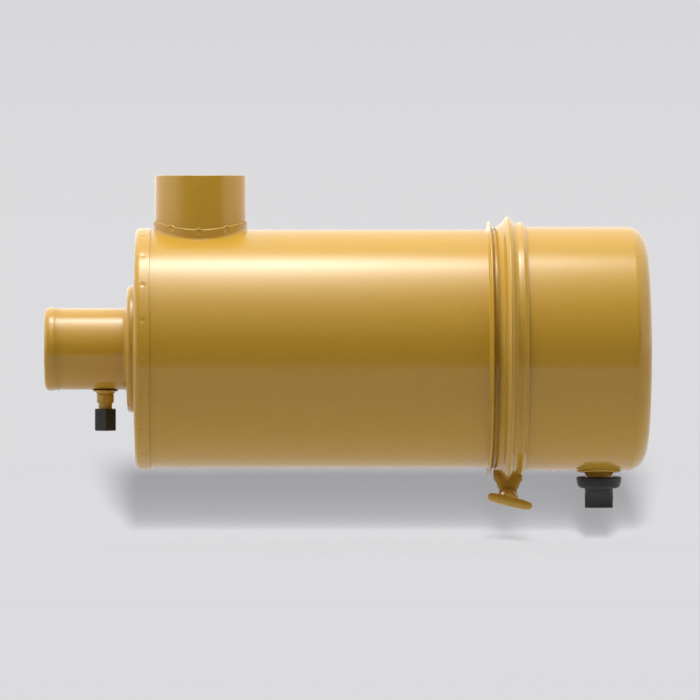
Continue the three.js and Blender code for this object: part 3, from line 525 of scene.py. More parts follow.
# ---- Outlet head ----
head_low, head_high = span("outlet_head")
tube_low, tube_high = span("outlet_tube")
HEAD_SHEET = 1.9
HEAD = head_high.z
HEAD_FACE = head_low.x + 10.6
BOSS, OUTLET = 79.5, 51.0  # radii of the head's stepped boss and of the outlet tube
HEAD_WELDS = 20
WELD_TURN = math.radians(183.0)
WELD_X, HEAD_WELD_DEPTH = head_high.x - 7.9, 0.8


def head_shape(along, radius, turn):
    """Dimples the skirt at each spot weld."""
    if radius < HEAD - 0.6 or along < HEAD_FACE + 3:
        return along, radius
    off = HEAD * off_pitch(turn, WELD_TURN, HEAD_WELDS)
    return along, min(radius - dimple(math.hypot(off, along - WELD_X), HEAD_WELD_DEPTH), HEAD)


skirt = soften([
    (head_high.x, HEAD), (HEAD_FACE, HEAD), (HEAD_FACE, BOSS), (head_low.x, BOSS), (head_low.x, OUTLET + 0.4),
], [0, 7.0, 3.4, 6.0, 0], steps=12, closed=False)
piece("head_shell", lathe(skin(dense(skirt, 1.1)[::-1], HEAD_SHEET), segments=640, shape=head_shape),
      "housing", PAINT, ["outlet_head"])

# The outlet tube: a rolled lip, a hose bead and a flared foot on the head's boss.
TUBE_END, FOOT_X = tube_low.x, head_low.x - 0.2
tube_path = spline([
    (TUBE_END + 2.6, OUTLET - 5.4),
    (TUBE_END + 0.5, OUTLET - 4.6),
    (TUBE_END, OUTLET - 3.2),
    (TUBE_END + 0.9, OUTLET - 1.1),
    (TUBE_END + 3.0, OUTLET + 0.5),
    (TUBE_END + 5.6, OUTLET + 1.15),
    (TUBE_END + 8.6, OUTLET + 1.2),
    (TUBE_END + 11.0, OUTLET + 0.95),
    (TUBE_END + 13.0, OUTLET + 0.35),
    (TUBE_END + 14.6, OUTLET - 0.05),
    (TUBE_END + 17.0, OUTLET),
    (TUBE_END + 22.0, OUTLET),
    (FOOT_X - 16.0, OUTLET),
    (FOOT_X - 6.5, OUTLET),
    (FOOT_X - 3.6, OUTLET + 0.35),
    (FOOT_X - 1.5, OUTLET + 1.4),
    (FOOT_X - 0.3, OUTLET + 3.3),
], 6)
tube_path = [(max(x, TUBE_END), min(r, tube_high.z)) for x, r in tube_path]
piece("outlet_pipe", together(
    lathe(skin(tube_path, SHEET), segments=224),
    lathe(soften(plain_ring(FOOT_X - 6, tube_high.x, OUTLET - SHEET, OUTLET), 0.3), segments=160),
), "housing", PAINT, ["outlet_tube"], 50)

# ---- Service port under the outlet tube ----
flange_low, flange_high = span("port_flange")
adapter_low, adapter_high = span("port_adapter")
cap_low, cap_high = span("port_cap")
PORT_X = (flange_low.x + flange_high.x) / 2
PORT_FLANGE = (flange_high.x - flange_low.x) / 2
port = (PORT_X, 0, 0)
rim = -OUTLET
piece("port_flange_dish", lathe(
    soften([(rim + 0.6, 6.0), (rim - 0.2, PORT_FLANGE - 0.3), (rim - 1.3, PORT_FLANGE),
            (flange_low.z + 2.2, 12.6), (flange_low.z, 11.2), (flange_low.z, 6.0)],
           [0, 0.4, 0.5, 1.2, 0.5, 0], steps=5),
    "Z", port, 128), "housing", PAINT, ["port_flange"], 45)
ADAPTER, ADAPTER_NECK = 10.7, 8.5  # radii of the adapter's body and of the neck that the cap covers
ADAPTER_TOP, SHOULDER = -56.2, -67.9
piece("port_adapter_body", lathe(
    soften([(ADAPTER_TOP, 2.5), (ADAPTER_TOP, ADAPTER - 0.6), (ADAPTER_TOP - 1.2, ADAPTER),
            (SHOULDER + 1.3, ADAPTER), (SHOULDER, 9.5), (SHOULDER - 0.6, ADAPTER_NECK),
            (adapter_low.z, ADAPTER_NECK), (adapter_low.z, 2.5)],
           [0, 0.5, 0.5, 0.9, 0.5, 0.5, 0.6, 0.3], steps=5),
    "Z", port, 96), "housing", CAST_PAINT, ["port_adapter"], 45)


CAP_FLAT, CAP_TURN = 13.0, math.radians(3.5)
CAP_CORNER_CUT = 0.2  # how much the round corners are short of sharp ones
CAP_BORE, CAP_SOCKET_DEPTH = ADAPTER_NECK + 0.3, 15.0


def hex_cap():
    """A moulded hexagonal cap: round edges, a chamfered foot and a bore for the adapter's neck."""
    place, top, foot = about("Z", port), cap_high.z, cap_low.z
    socket = top - CAP_SOCKET_DEPTH

    def side(inset, z):
        flat = CAP_FLAT - inset
        return hexagon(place, z, flat, flat / math.cos(CORNER) - CAP_CORNER_CUT, turn=CAP_TURN)

    def round_loop(radius, z):
        return circle(place, z, radius, turn=CAP_TURN)

    return loft([
        round_loop(0.4, foot + 0.7), round_loop(7.5, foot + 0.6), round_loop(8.6, foot),
        side(1.1, foot), side(0.35, foot + 0.35), side(0.0, foot + 1.1),
        side(0.0, top - 1.0), side(0.3, top - 0.3), side(1.0, top),
        round_loop(CAP_BORE + 0.4, top), round_loop(CAP_BORE, top - 0.4), round_loop(CAP_BORE, socket),
        round_loop(0.4, socket),
    ])


piece("port_hex_cap", hex_cap(), "port_cap", PLASTIC, ["port_cap"], 28)

# ---- Cover ----
cover_low, cover_high = span("cover")
COVER, RIM = BARREL + 3.5, cover_high.z
COVER_END = cover_high.x - 7.5  # where the side would meet the end, were the corner not round
DOME = [(COVER_END + 4.1, 84.0), (cover_high.x - 0.3, 34.0), (cover_high.x, 0.0)]
cover_path = soften(
    [(cover_low.x + 0.1, RIM), (cover_low.x + 0.1, COVER + 0.2), (cover_low.x + 2.2, COVER),
     (COVER_END, COVER), *DOME],
    [0, 0.1, 1.2, 26.0, 160.0, 200.0, 0], steps=16, closed=False,
)
cover_path = [p for p in cover_path if p[1] > 0.01] + [(cover_high.x, 0.0)]
inner_path = soften(
    [(cover_low.x + 1.7, RIM), (cover_low.x + 1.7, COVER + 1.0), (cover_low.x + 1.0, COVER - SHEET),
     (COVER_END - SHEET, COVER - SHEET), *((x - SHEET, radius) for x, radius in DOME)],
    [0, 0.5, 1.0, 24.4, 160.0, 200.0, 0], steps=16, closed=False,
)
cover_outline = [*dense(cover_path, 9.0), *reversed(dense(inner_path, 9.0))]
cover = plain_object("cover_shell", lathe(cover_outline, segments=320))
spigot_low, spigot_high = span("valve_spigot")
VALVE_X, DRAIN_HOLE = (spigot_low.x + spigot_high.x) / 2, 17.1
valve_axis = (VALVE_X, 0, 0)
cut(cover, lathe(plain_ring(-REACH, 0, 0, DRAIN_HOLE), "Z", valve_axis, 96))
hand_in(cover, "cover", PAINT, ["cover"])
radial(cover)

# ---- Discharge spigot and its rubber valve ----
SPIGOT_FLANGE = (spigot_high.x - spigot_low.x) / 2
SPIGOT_FOOT = spigot_low.z
SPIGOT, SPIGOT_BORE = 16.8, 15.0
NECK_TOP = -159.2  # level where the round neck starts


def spigot():
    """A welded saddle that turns down into a round neck with a rolled lip."""

    def place(height, radius, angle):
        """height: how far the loop stands off the cover's surface, or, if negative, its own level."""
        y = radius * math.sin(angle)
        z = -math.sqrt((COVER + height) ** 2 - y * y) if height >= 0 else height
        return VALVE_X + radius * math.cos(angle), y, z

    outer = [
        (SPIGOT_FLANGE - 0.25, 0.15), (SPIGOT_FLANGE, 0.9), (SPIGOT_FLANGE - 0.3, 1.7),
        (SPIGOT_FLANGE - 1.0, 2.1), (SPIGOT + 3.6, 2.3), (SPIGOT + 1.6, 2.9), (SPIGOT + 0.5, 4.2),
        (SPIGOT, NECK_TOP), (SPIGOT + 0.1, SPIGOT_FOOT + 5.6), (SPIGOT + 0.9, SPIGOT_FOOT + 4.4),
        (SPIGOT + 1.0, SPIGOT_FOOT + 1.2), (SPIGOT + 0.6, SPIGOT_FOOT + 0.3), (SPIGOT - 0.4, SPIGOT_FOOT),
        (SPIGOT_BORE + 0.3, SPIGOT_FOOT + 0.1), (SPIGOT_BORE, SPIGOT_FOOT + 0.7), (SPIGOT_BORE, 0.0),
    ]
    return loft([circle(place, height, radius, 160) for radius, height in outer], ring=True)


piece("drain_spigot", spigot(), "cover", PAINT, ["valve_spigot"], 50)

valve_low, valve_high = span("unloader_valve")
COLLAR = (valve_high.x - valve_low.x) / 2
COLLAR_FOOT = valve_high.z - 14.4


BILL_WIDTH, BILL_STRAIGHT = 17.6, 8.0  # half of the bill's width, and how long its lips stay flat
BILL_CORNER = 0.55  # how much squarer the bill's section is than a round one
LIP, MOUTH = 4.7, 0.8  # half of the lips' thickness, and of the slit between them
VALVE_BORE, VALVE_STEPS = 14.2, 128


def valve():
    """A soft moulding: a deep collar over the spigot's lip and a flat bill whose lips are pinched together."""
    place, top, lips = about("Z", valve_axis), valve_high.z, valve_low.z

    def round_loop(radius, z):
        return circle(place, z, radius, VALVE_STEPS)

    def bill_loop(share, z, half_width, round_depth, flat_depth):
        """From a circle at share 0 to a slot with tight ends at share 1."""
        power, points = 1.0 - BILL_CORNER * share, []
        depth = round_depth * (1 - share) + flat_depth * share
        for k in range(VALVE_STEPS):
            c, s = math.cos(math.tau * k / VALVE_STEPS), math.sin(math.tau * k / VALVE_STEPS)
            x = half_width * math.copysign(abs(c) ** power, c)
            points.append((VALVE_X + x, depth * math.copysign(abs(s) ** power, s), z))
        return points

    collar = [
        (18.4, 6.0), (18.4, 0.8), (19.2, 0.0), (COLLAR - 1.9, 0.0), (COLLAR - 0.7, 0.35), (COLLAR - 0.1, 1.3),
        (COLLAR, 2.4), (COLLAR - 0.7, 7.0), (COLLAR - 1.6, 10.4), (COLLAR - 2.5, 12.2), (COLLAR - 4.2, 13.6),
        (COLLAR - 6.4, 14.3), (19.6, 14.5), (18.3, 14.9),
    ]
    loops = [round_loop(radius, top - drop) for radius, drop in collar]
    root = COLLAR_FOOT - 1.2
    for k in range(13):
        share = k / 12
        eased = share * share * (3 - 2 * share)
        swell = 0.25 * math.sin(math.pi * share)
        z = root + (lips + BILL_STRAIGHT - root) * share
        loops.append(bill_loop(eased * 0.92, z, BILL_WIDTH + swell, BILL_WIDTH, LIP + 0.3))
    ends = [
        (4.0, 0, LIP), (1.6, 0, LIP), (0.4, 0, LIP),
        (0, 0.6, LIP - 0.6), (0, 2.2, MOUTH + 0.1), (5.0, 2.6, MOUTH),
    ]
    for lift, inset, depth in ends:
        loops.append(bill_loop(1.0, lips + lift, BILL_WIDTH - inset, BILL_WIDTH, depth))
    loops.append(bill_loop(0.5, COLLAR_FOOT - 6.0, VALVE_BORE - 0.2, VALVE_BORE - 0.2, 3.0))
    loops += [round_loop(VALVE_BORE, COLLAR_FOOT), round_loop(VALVE_BORE, top - 7.0)]
    return loft(loops, ring=True)


piece("drain_valve", valve(), "unloader_valve", RUBBER, ["unloader_valve"], 60)

# ---- Band clamp ----
band_low, band_high = span("clamp_band_front")
BAND_PEAK_X = barrel_high.x + 3.3
BAND_THICKNESS = 1.5
BAND_SPLIT, BAND_JOINT = 11.0, 0.35  # from the middle plane to each half's lower and upper end
BAND_PATH = [
    (-15.8, -0.6), (-11.8, 1.8), (-7.7, 4.5), (-3.9, 9.8), (0, 13.7), (3.4, 10.8), (6.6, 6.2), (9.2, 4.9),
    (13.0, 5.4), (17.2, 6.9), (20.2, 2.7), (21.9, 2.3),
]
band_path = [
    (min(BAND_PEAK_X + x, band_high.x), min(COVER + r, band_high.z))
    for x, r in soften(BAND_PATH, [0, 12, 14, 14, 1.6, 12, 5, 6, 14, 2.2, 3, 0], steps=7, closed=False)
]
band_outline = skin(band_path, BAND_THICKNESS)
band_outline = [(min(x, band_high.x), min(r, band_high.z)) for x, r in band_outline]


def band_half(side):
    """Half of the band, from the joint at the top round to its lower end."""
    steps = 180
    loops = []
    for j in range(steps + 1):
        share = j / steps
        loop = []
        for along, radius in band_outline:
            top, foot = math.asin(BAND_JOINT / radius), math.pi - math.asin(BAND_SPLIT / radius)
            angle = top + (foot - top) * share
            loop.append((along, side * radius * math.sin(angle), radius * math.cos(angle)))
        loops.append(loop)
    return loft(loops)


spacer_low, spacer_high = span("clamp_spacer")
SCREW_X, SCREW_Z = BAND_PEAK_X + 1.2, (spacer_low.z + spacer_high.z) / 2
screw = (SCREW_X, 0, SCREW_Z)


def ray_radius(polygon, angle):
    """The distance from the origin to a closed polygon along a direction."""
    direction = Vector((math.cos(angle), math.sin(angle)))
    best = None
    for a, b in zip(polygon, [*polygon[1:], polygon[0]]):
        a, b = Vector(a), Vector(b)
        edge = b - a
        cross = direction.x * edge.y - direction.y * edge.x
        if abs(cross) < 1e-9:
            continue
        t = (a.x * edge.y - a.y * edge.x) / cross
        u = (a.x * direction.y - a.y * direction.x) / cross
        if t > 0 and -1e-6 <= u <= 1 + 1e-6:
            best = t if best is None else max(best, t)
    return best


LUG_NEAR, LUG_FAR = 12.0, 14.3  # the plate's two faces
EYE, EYE_DROP, EYE_HOLE = 12.6, 10.3, 4.9
SHOULDER_X = 17.8  # half of the plate's width where it hugs the band
LUG_STEPS = 240


def lug(side):
    """A plate that hugs the band above and narrows to a round eye about the screw."""
    seat = [(BAND_PEAK_X + x - SCREW_X, -math.sqrt((COVER + r + 0.25) ** 2 - LUG_NEAR**2) - SCREW_Z)
            for x, r in soften(BAND_PATH, 3.0, steps=3, closed=False)]
    seat = [(x, z) for x, z in seat if abs(x) < SHOULDER_X]
    left = [(-EYE, 9.0), (-13.6, 14.5), (-17.5, 20.0), (-SHOULDER_X - 0.1, 32.0)]
    right = [(SHOULDER_X + 0.1, 30.0), (17.5, 20.0), (13.6, 14.5), (EYE, 9.0)]
    outline = soften([*left, *seat, *right], [3, 2, 3, 1.5, *[0] * len(seat), 1.5, 3, 2, 3], steps=5)
    under = [-math.pi * k / 24 for k in range(1, 24)]
    outline += [(EYE * math.cos(t), EYE_DROP * math.sin(t)) for t in under]
    angles = [math.tau * k / LUG_STEPS for k in range(LUG_STEPS)]
    reach = [ray_radius(outline, t) or EYE for t in angles]

    def loop(y, inset, hole=False):
        radii = [EYE_HOLE + inset] * LUG_STEPS if hole else [r - inset for r in reach]
        place = about("Y", screw)
        return [place(side * y, r, t) for r, t in zip(radii, angles)]

    return loft([
        loop(LUG_NEAR, 0.4, True), loop(LUG_NEAR, 0.5), loop(LUG_NEAR + 0.15, 0.15), loop(LUG_NEAR + 0.5, 0),
        loop(LUG_FAR - 0.5, 0), loop(LUG_FAR - 0.15, 0.15), loop(LUG_FAR, 0.5), loop(LUG_FAR, 0.4, True),
        loop(LUG_FAR - 0.4, 0, True), loop(LUG_NEAR + 0.4, 0, True),
    ], ring=True)


for side, half in ((-1, "front"), (1, "rear")):
    body = "clamp_" + half
    piece("band_" + half, band_half(side), body, PAINT, ["clamp_band_" + half], 50)
    piece("lug_plate_" + half, lug(side), body, PAINT, ["clamp_lug_" + half], 40)


def about_screw(name, outline, body, node):
    return piece(name, lathe(outline, "Y", screw, 96), body, CAST_PAINT, [node], 40)


washer_low, washer_high = span("clamp_washer")
WASHER = (washer_high.x - washer_low.x) / 2
about_screw("screw_washer", soften(plain_ring(washer_low.y, washer_high.y, 4.6, WASHER), 0.55, steps=4),
    "clamp_front", "clamp_washer")
SPACER = (spacer_high.x - spacer_low.x) / 2
about_screw("screw_spacer", soften(
    [(spacer_low.y, 4.6), (spacer_low.y, SPACER - 1.1), (spacer_low.y + 2.0, SPACER - 0.4),
     (spacer_low.y + 6, SPACER), (spacer_high.y - 3.2, SPACER), (spacer_high.y - 1.6, SPACER - 1.0),
     (spacer_high.y - 0.4, SPACER - 0.2), (spacer_high.y, SPACER - 0.6), (spacer_high.y, 4.6)],
    [0, 0.8, 1, 3, 0.8, 0.5, 0.3, 0.3, 0], steps=4),
    "clamp_screw", "clamp_spacer")

THREAD_STEPS = 48


def stations(low, high, stretches, last):
    """Places along a rod; each stretch is where it starts and the step on it, from the far end back."""
    out, at = [], low
    while at < high - 0.01:
        out.append(at)
        at += next(step for start, step in stretches if at > start)
    return sorted({*out, high - last, high})


def threaded(place, rod, thread, bevel, places):
    """A rod with a rolled thread on its last stretch and bevelled ends.

    rod: its two ends and its radius. bevel: its length, and the ends that have one.
    thread: where it starts, its pitch, its depth and the stretch on which it fades in.
    """
    low, high, radius = rod
    start, pitch, depth, fade = thread
    bevel_length, bevelled_ends = bevel
    loops = []
    for at in places:
        to_end = min(abs(end - at) for end in bevelled_ends)
        taper = max(0.0, bevel_length - to_end) * 0.8
        loop = []
        for k in range(THREAD_STEPS):
            phase = (at / pitch + k / THREAD_STEPS) % 1.0
            groove = depth * abs(2 * phase - 1) * min(1.0, (at - start) / fade) if at > start else 0.0
            loop.append(place(at, radius - groove - taper, math.tau * k / THREAD_STEPS))
        loops.append(loop)
    return loft(loops)


screw_low, screw_high = span("clamp_screw")
SCREW, SCREW_PITCH, SCREW_THREAD_FROM = 4.0, 1.25, 2.0
piece("clamp_threaded_screw", threaded(
    about("Y", screw), (screw_low.y, screw_high.y, SCREW), (SCREW_THREAD_FROM, SCREW_PITCH, 0.45, 2.0),
    (0.9, [screw_high.y]),
    stations(screw_low.y, screw_high.y, [(SCREW_THREAD_FROM, SCREW_PITCH / 10), (-REACH, 2.0)], 0.6),
), "clamp_screw", CAST_PAINT, ["clamp_screw"], 60)


def hex_nut(low, high, flats, bore, place, turn=math.pi / 2):
    """A forged hexagon nut: chamfered corners at both faces and a countersunk bore."""
    flat = flats / 2
    corner = flat / math.cos(CORNER) - 0.25

    def hole(along, radius):
        return circle(place, along, radius, turn=turn)

    def side(along, limit):
        return hexagon(place, along, flat, limit, turn=turn)

    return loft([
        hole(low, bore + 0.8), hole(low, flat - 0.3), side(low + 0.1, flat + 0.1), side(low + 1.1, corner),
        side(high - 1.1, corner), side(high - 0.1, flat + 0.1), hole(high, flat - 0.3), hole(high, bore + 0.8),
        hole(high - 0.8, bore), hole(low + 0.8, bore),
    ], ring=True)


nut_low, nut_high = span("clamp_nut")
piece("clamp_hex_nut", hex_nut(nut_low.y, nut_high.y, 16.0, 4.9, about("Y", screw)),
      "clamp_rear", CAST_PAINT, ["clamp_nut"], 30)

handle_low, handle_high = span("clamp_handle")
HUB, BAR_RADIUS, BAR_REACH, BAR_TILT = 9.0, 4.9, 23.9, math.radians(13.7)
BAR_SWELL = 1.25  # how much deeper the forged bar is at its middle than at its ends


def handle():
    """A forged T: a hub on the screw that swells into a cross bar with round ends."""
    hub_outline = soften(
        [(handle_low.y + 2.5, 0), (handle_low.y + 2.5, HUB - 2.5), (handle_low.y + 6, HUB),
         (handle_high.y, HUB), (handle_high.y, 0)],
        [0, 2, 2, 0.8, 0], steps=4,
    )
    hub = lathe(hub_outline, "Y", screw, 64)
    rise = handle_low.z + BAR_RADIUS + BAR_REACH * math.sin(BAR_TILT)
    middle = Vector((SCREW_X, handle_low.y + BAR_RADIUS, rise))
    along = Vector((math.cos(BAR_TILT), 0, -math.sin(BAR_TILT)))
    upward = Vector((math.sin(BAR_TILT), 0, math.cos(BAR_TILT)))
    depth = Vector((0, 1, 0))
    rings = []
    for k in range(41):
        share = -1 + 2 * k / 40
        rings.append((share * BAR_REACH, BAR_RADIUS * (1.0 + (BAR_SWELL - 1) * (1 - share**4))))
    quarter = [math.pi / 2 * k / 8 for k in range(1, 9)]
    ends = [(BAR_REACH + BAR_RADIUS * math.sin(t), max(BAR_RADIUS * math.cos(t), 0.05)) for t in quarter]
    rings = [(-a, r) for a, r in reversed(ends)] + rings + ends
    loops = []
    for a, r in rings:
        centre, deep = middle + along * a, min(r, BAR_RADIUS)
        loops.append([tuple(centre + upward * (r * math.cos(t)) + depth * (deep * math.sin(t)))
                      for t in (math.tau * k / 40 for k in range(40))])
    made = forge("clamp_t_handle", together(hub, loft(loops)), 10)
    return hand_in(made, "clamp_screw", CAST_PAINT, ["clamp_handle"], 80)


handle()

# ---- Seals and caps ----
ring("cover_seal", "cover_gasket", "cover", RUBBER, 0.8)
ring("element_seal", "element_gasket", "primary_element", RUBBER, 1.8)
ring("safety_seal", "safety_gasket", "safety_element", RUBBER, 1.0)
ring("nut_washer_seal", "nut_seal", "nut_seal", RUBBER, 0.9)


def capped(name, node, body, bore, sign):
    """A pressed end cap: a dished disc with a rolled rim."""
    low, high = span(node)
    outer = high.z
    face, back = (high.x, low.x) if sign > 0 else (low.x, high.x)
    dish = face - sign * 1.6
    path = soften([
        (back, outer - 0.2), (face, outer - 0.2), (face, outer - 5.5), (dish, outer - 7.5),
        (dish, bore + 9.0), (face, bore + 6.5), (face, bore + 0.6), (back, bore),
    ], [0.4, 1.6, 1.2, 1.2, 1.2, 1.2, 0.8, 0.2], steps=5)
    return piece(name, lathe(path, segments=192), body, PLATED, [node])


capped("element_open_end", "element_open_cap", "primary_element", 82.0, -1)
capped("element_closed_end", "element_closed_cap", "primary_element", 5.6, 1)
capped("safety_open_end", "safety_open_cap", "safety_element", 58.0, -1)
capped("safety_closed_end", "safety_closed_cap", "safety_element", 5.6, 1)


# ---- Elements ----
def pleats(node, count, inner, outer, sheet):
    """Folded paper: a zigzag sheet between two radii, its folds rounded."""
    low, high = span(node)
    per_fold = 8
    folds = []
    for k in range(count * per_fold):
        wave = 0.5 - 0.5 * math.cos(math.tau * ((k / per_fold) % 1.0))
        for _ in range(2):
            wave = wave * wave * (3 - 2 * wave)
        folds.append((inner + sheet + (outer - inner - sheet) * wave, math.tau * k / (count * per_fold)))
    loops = []
    for x, inset in ((low.x, sheet), (low.x, 0), (high.x, 0), (high.x, sheet)):
        loops.append([(x, (r - inset) * math.cos(t), (r - inset) * math.sin(t)) for r, t in folds])
    return loft(loops, ring=True)


piece("element_pleats", pleats("element_paper", 120, 84.2, 115.8, 1.4), "primary_element", PAPER,
      ["element_paper"], 60)
piece("safety_pleats", pleats("safety_paper", 90, 58.2, 69.8, 1.2), "safety_element", PAPER,
      ["safety_paper"], 60)


def perforated(node, outer, thickness, pitch, hole):
    """A rolled liner with staggered round holes through it."""
    low, high = span(node)
    inner, margin = outer - thickness, 9.0  # the margin at each end has no holes
    across = round(math.tau * outer / pitch)
    rows = int((high.x - low.x - 2 * margin) / pitch)
    cell = (high.x - low.x - 2 * margin) / rows
    width = math.tau / across
    verts, faces, index = [], [], {}

    def vert(x, turn, radius):
        key = (round(x, 3), round(turn % math.tau, 6) % round(math.tau, 6), radius)
        if key not in index:
            index[key] = len(verts)
            verts.append((x, radius * math.cos(turn), radius * math.sin(turn)))
        return index[key]

    around = [(-1, -1), (0, -1), (1, -1), (1, 0), (1, 1), (0, 1), (-1, 1), (-1, 0)]
    for row in range(rows):
        x = low.x + margin + (row + 0.5) * cell
        for k in range(across):
            turn = (k + 0.5 * (row % 2)) * width
            corners = [(x + u * cell / 2, turn + v * width / 2) for u, v in around]
            rim = [(x + hole * math.cos(a), turn + hole * math.sin(a) / outer)
                   for a in (math.atan2(v, u) for u, v in around)]
            for radius, flip in ((outer, False), (inner, True)):
                frame_loop = [vert(*c, radius) for c in corners]
                hole_loop = [vert(*c, radius) for c in rim]
                for i in range(8):
                    j = (i + 1) % 8
                    face = (frame_loop[i], frame_loop[j], hole_loop[j], hole_loop[i])
                    faces.append(face[::-1] if flip else face)
            for i in range(8):
                j = (i + 1) % 8
                a, b = rim[i], rim[j]
                faces.append((vert(*a, outer), vert(*b, outer), vert(*b, inner), vert(*a, inner)))
    for x0, x1 in ((low.x, low.x + margin), (high.x - margin, high.x)):
        for k in range(2 * across):
            a, b = k * width / 2, (k + 1) * width / 2
            edge = x0 if x0 == low.x else x1
            for radius in (outer, inner):
                faces.append(tuple(vert(x, t, radius) for x, t in ((x0, a), (x1, a), (x1, b), (x0, b))))
            rim = ((a, outer), (b, outer), (b, inner), (a, inner))
            faces.append(tuple(vert(edge, t, radius) for t, radius in rim))
    return verts, faces


piece("element_outer_screen", perforated("element_outer_liner", 118.0, 0.8, 10.0, 3.1), "primary_element",
      GALVANISED, ["element_outer_liner"], 50)
piece("element_inner_screen", perforated("element_inner_liner", 83.0, 0.8, 11.0, 3.4), "primary_element",
      GALVANISED, ["element_inner_liner"], 50)

# ---- Shroud and vanes ----
VANES, VANE_TIP, HOOP, HOOP_BORE, VANE_PITCH = 18, 143.9, 121.6, 120.0, math.radians(40)
ring("vane_shroud", "shroud", "primary_element", VANE, 0.4, HOOP_BORE)
vane_low, vane_high = span("vane_ring")


def vanes():
    """A hoop with curved, twisted blades that set the air spinning."""
    hoop = soften(plain_ring(vane_low.x, vane_high.x, HOOP_BORE, HOOP), 0.4, steps=3)
    parts = [lathe(hoop, segments=180)]
    length = vane_high.x - vane_low.x
    middle = (vane_low.x + vane_high.x) / 2
    for v in range(VANES):
        turn = math.tau * v / VANES + math.pi / 2
        loops = []
        for k in range(9):
            share = k / 8
            radius = HOOP - 0.8 + (VANE_TIP - HOOP + 0.6) * share
            pitch = VANE_PITCH * (1.0 - 0.12 * share)
            chord = (length / 2 - 0.6) / math.cos(VANE_PITCH) * (1 - 0.08 * share)
            chord = min(chord, (length / 2 - 0.4) / math.cos(pitch))
            section = []
            for i in range(24):
                a = math.tau * i / 24
                along = chord * math.cos(a)
                camber = 1.3 * (1 - (along / chord) ** 2)
                across = camber + 0.95 * math.sin(a) * (0.55 + 0.45 * math.sin(a) ** 2)
                x = along * math.cos(pitch) - across * math.sin(pitch)
                side = along * math.sin(pitch) + across * math.cos(pitch)
                section.append((middle + max(-length / 2, min(length / 2, x)), side, radius))
            loops.append(turned(section, turn))
        parts.append(loft(loops))
    return together(*parts)


piece("vane_hoop", vanes(), "primary_element", VANE, ["vane_ring"], 50)


# ---- Yoke, nuts and baffle ----
BLADE = 2.5  # thickness of the spider's blades


def yoke():
    """The spider's hub and three blades, their edges rounded, welded inside the outlet tube."""
    low, high = span("yoke_spider")
    hub = soften(plain_ring(low.x, high.x, 5.3, 10.0), 0.8, steps=4)
    parts = [lathe(hub, segments=64)]
    for k in range(3):
        turn = math.pi / 2 + math.tau * k / 3
        loops = []
        for radius, grow in ((9.5, 0.3), (11.5, 0.0), (30.0, -0.5), (47.0, 0.0), (48.9, 0.35)):
            half = BLADE / 2 + grow
            front, back = low.x + 0.2, high.x - 0.2
            section = soften([(front, -half), (back, -half), (back, half), (front, half)], 0.6, steps=3)
            loops.append(turned([(x, side, radius) for x, side in section], turn))
        parts.append(loft(loops))
    return together(*parts)


piece("yoke_blades", yoke(), "housing", PLATED, ["yoke_spider"], 50)


rod_low, rod_high = span("yoke_rod")
ROD, ROD_PITCH = 5.0, 1.5
ROD_THREAD_FROM = rod_high.x - 40.0
piece("yoke_threaded_rod", threaded(
    about("X"), (rod_low.x, rod_high.x, ROD), (ROD_THREAD_FROM, ROD_PITCH, 0.5, 3.0),
    (1.0, [rod_low.x, rod_high.x]),
    stations(rod_low.x, rod_high.x,
             [(ROD_THREAD_FROM, ROD_PITCH / 10), (rod_high.x - 135.0, 6.0), (rod_low.x - 1.0, 40.0)], 0.5),
), "housing", PLATED, ["yoke_rod"], 60)

safety_low, safety_high = span("safety_nut")
piece("safety_hex_nut", hex_nut(safety_low.x, safety_high.x, 17.0, 5.5, about("X"), 0.0),
      "safety_nut", PLATED, ["safety_nut"], 30)


def round_off(share, start, square, least):
    """The fall of an ear's size towards its round tip; square is about that of the stretch it falls on."""
    return math.sqrt(max(least, 1 - max(0, share - start) ** 2 / square))


def wing_nut():
    """A cast wing nut: a tapered hub and two swept ears melted into it."""
    low, high = span("wing_nut")
    top, bore = low.x + 15.5, 5.6
    hub = soften([(low.x, bore), (low.x, 11.0), (top, 8.4), (top, bore)], [0.3, 1.6, 1.8, 0.3], steps=5)
    parts = [lathe(hub, segments=64)]
    for sign in (-1, 1):
        loops = []
        for k in range(13):
            share = k / 12
            y = sign * (7.0 + (high.y - 7.4) * share)
            middle = low.x + 6.5 + 8.2 * share * share
            half = 5.2 + 1.2 * math.sin(math.pi * min(share * 1.1, 1.0))
            half *= round_off(share, 0.55, 0.2026, 0.02)
            thick = (2.2 - 0.5 * share) * round_off(share, 0.75, 0.0626, 0.05)
            turns = [math.tau * i / 24 for i in range(24)]
            loops.append([(middle + half * math.cos(t), y, thick * math.sin(t)) for t in turns])
        parts.append(loft(loops))
    made = forge("cast_wing_nut", together(*parts), 8)
    return hand_in(made, "wing_nut", PLATED, ["wing_nut"], 80)


wing_nut()


def baffle():
    """A pressed cone with a rolled rim, a flat annular face and a wide slot at the top."""
    low, high = span("cover_baffle")
    plate = high.z - 29.4
    corners = [(low.x, high.z), (low.x + 10, high.z), (high.x, plate), (high.x, 62.0)]
    path = soften(corners, [0, 5, 5, 0], steps=6, closed=False)
    made = plain_object("cover_dust_baffle", lathe(skin(dense(path, 6.0), 1.5), segments=256))
    half, lap = 45.0, 12.0
    box = [(-half, plate - lap), (half, plate - lap), (half, REACH), (-half, REACH)]
    outline = soften(box, [8, 8, 0, 0], steps=6)
    cut(made, loft([[(x, y, z) for y, z in outline] for x in (low.x + 10.5, high.x + 5)]))
    return hand_in(made, "cover", PAINT, ["cover_baffle"])


baffle()


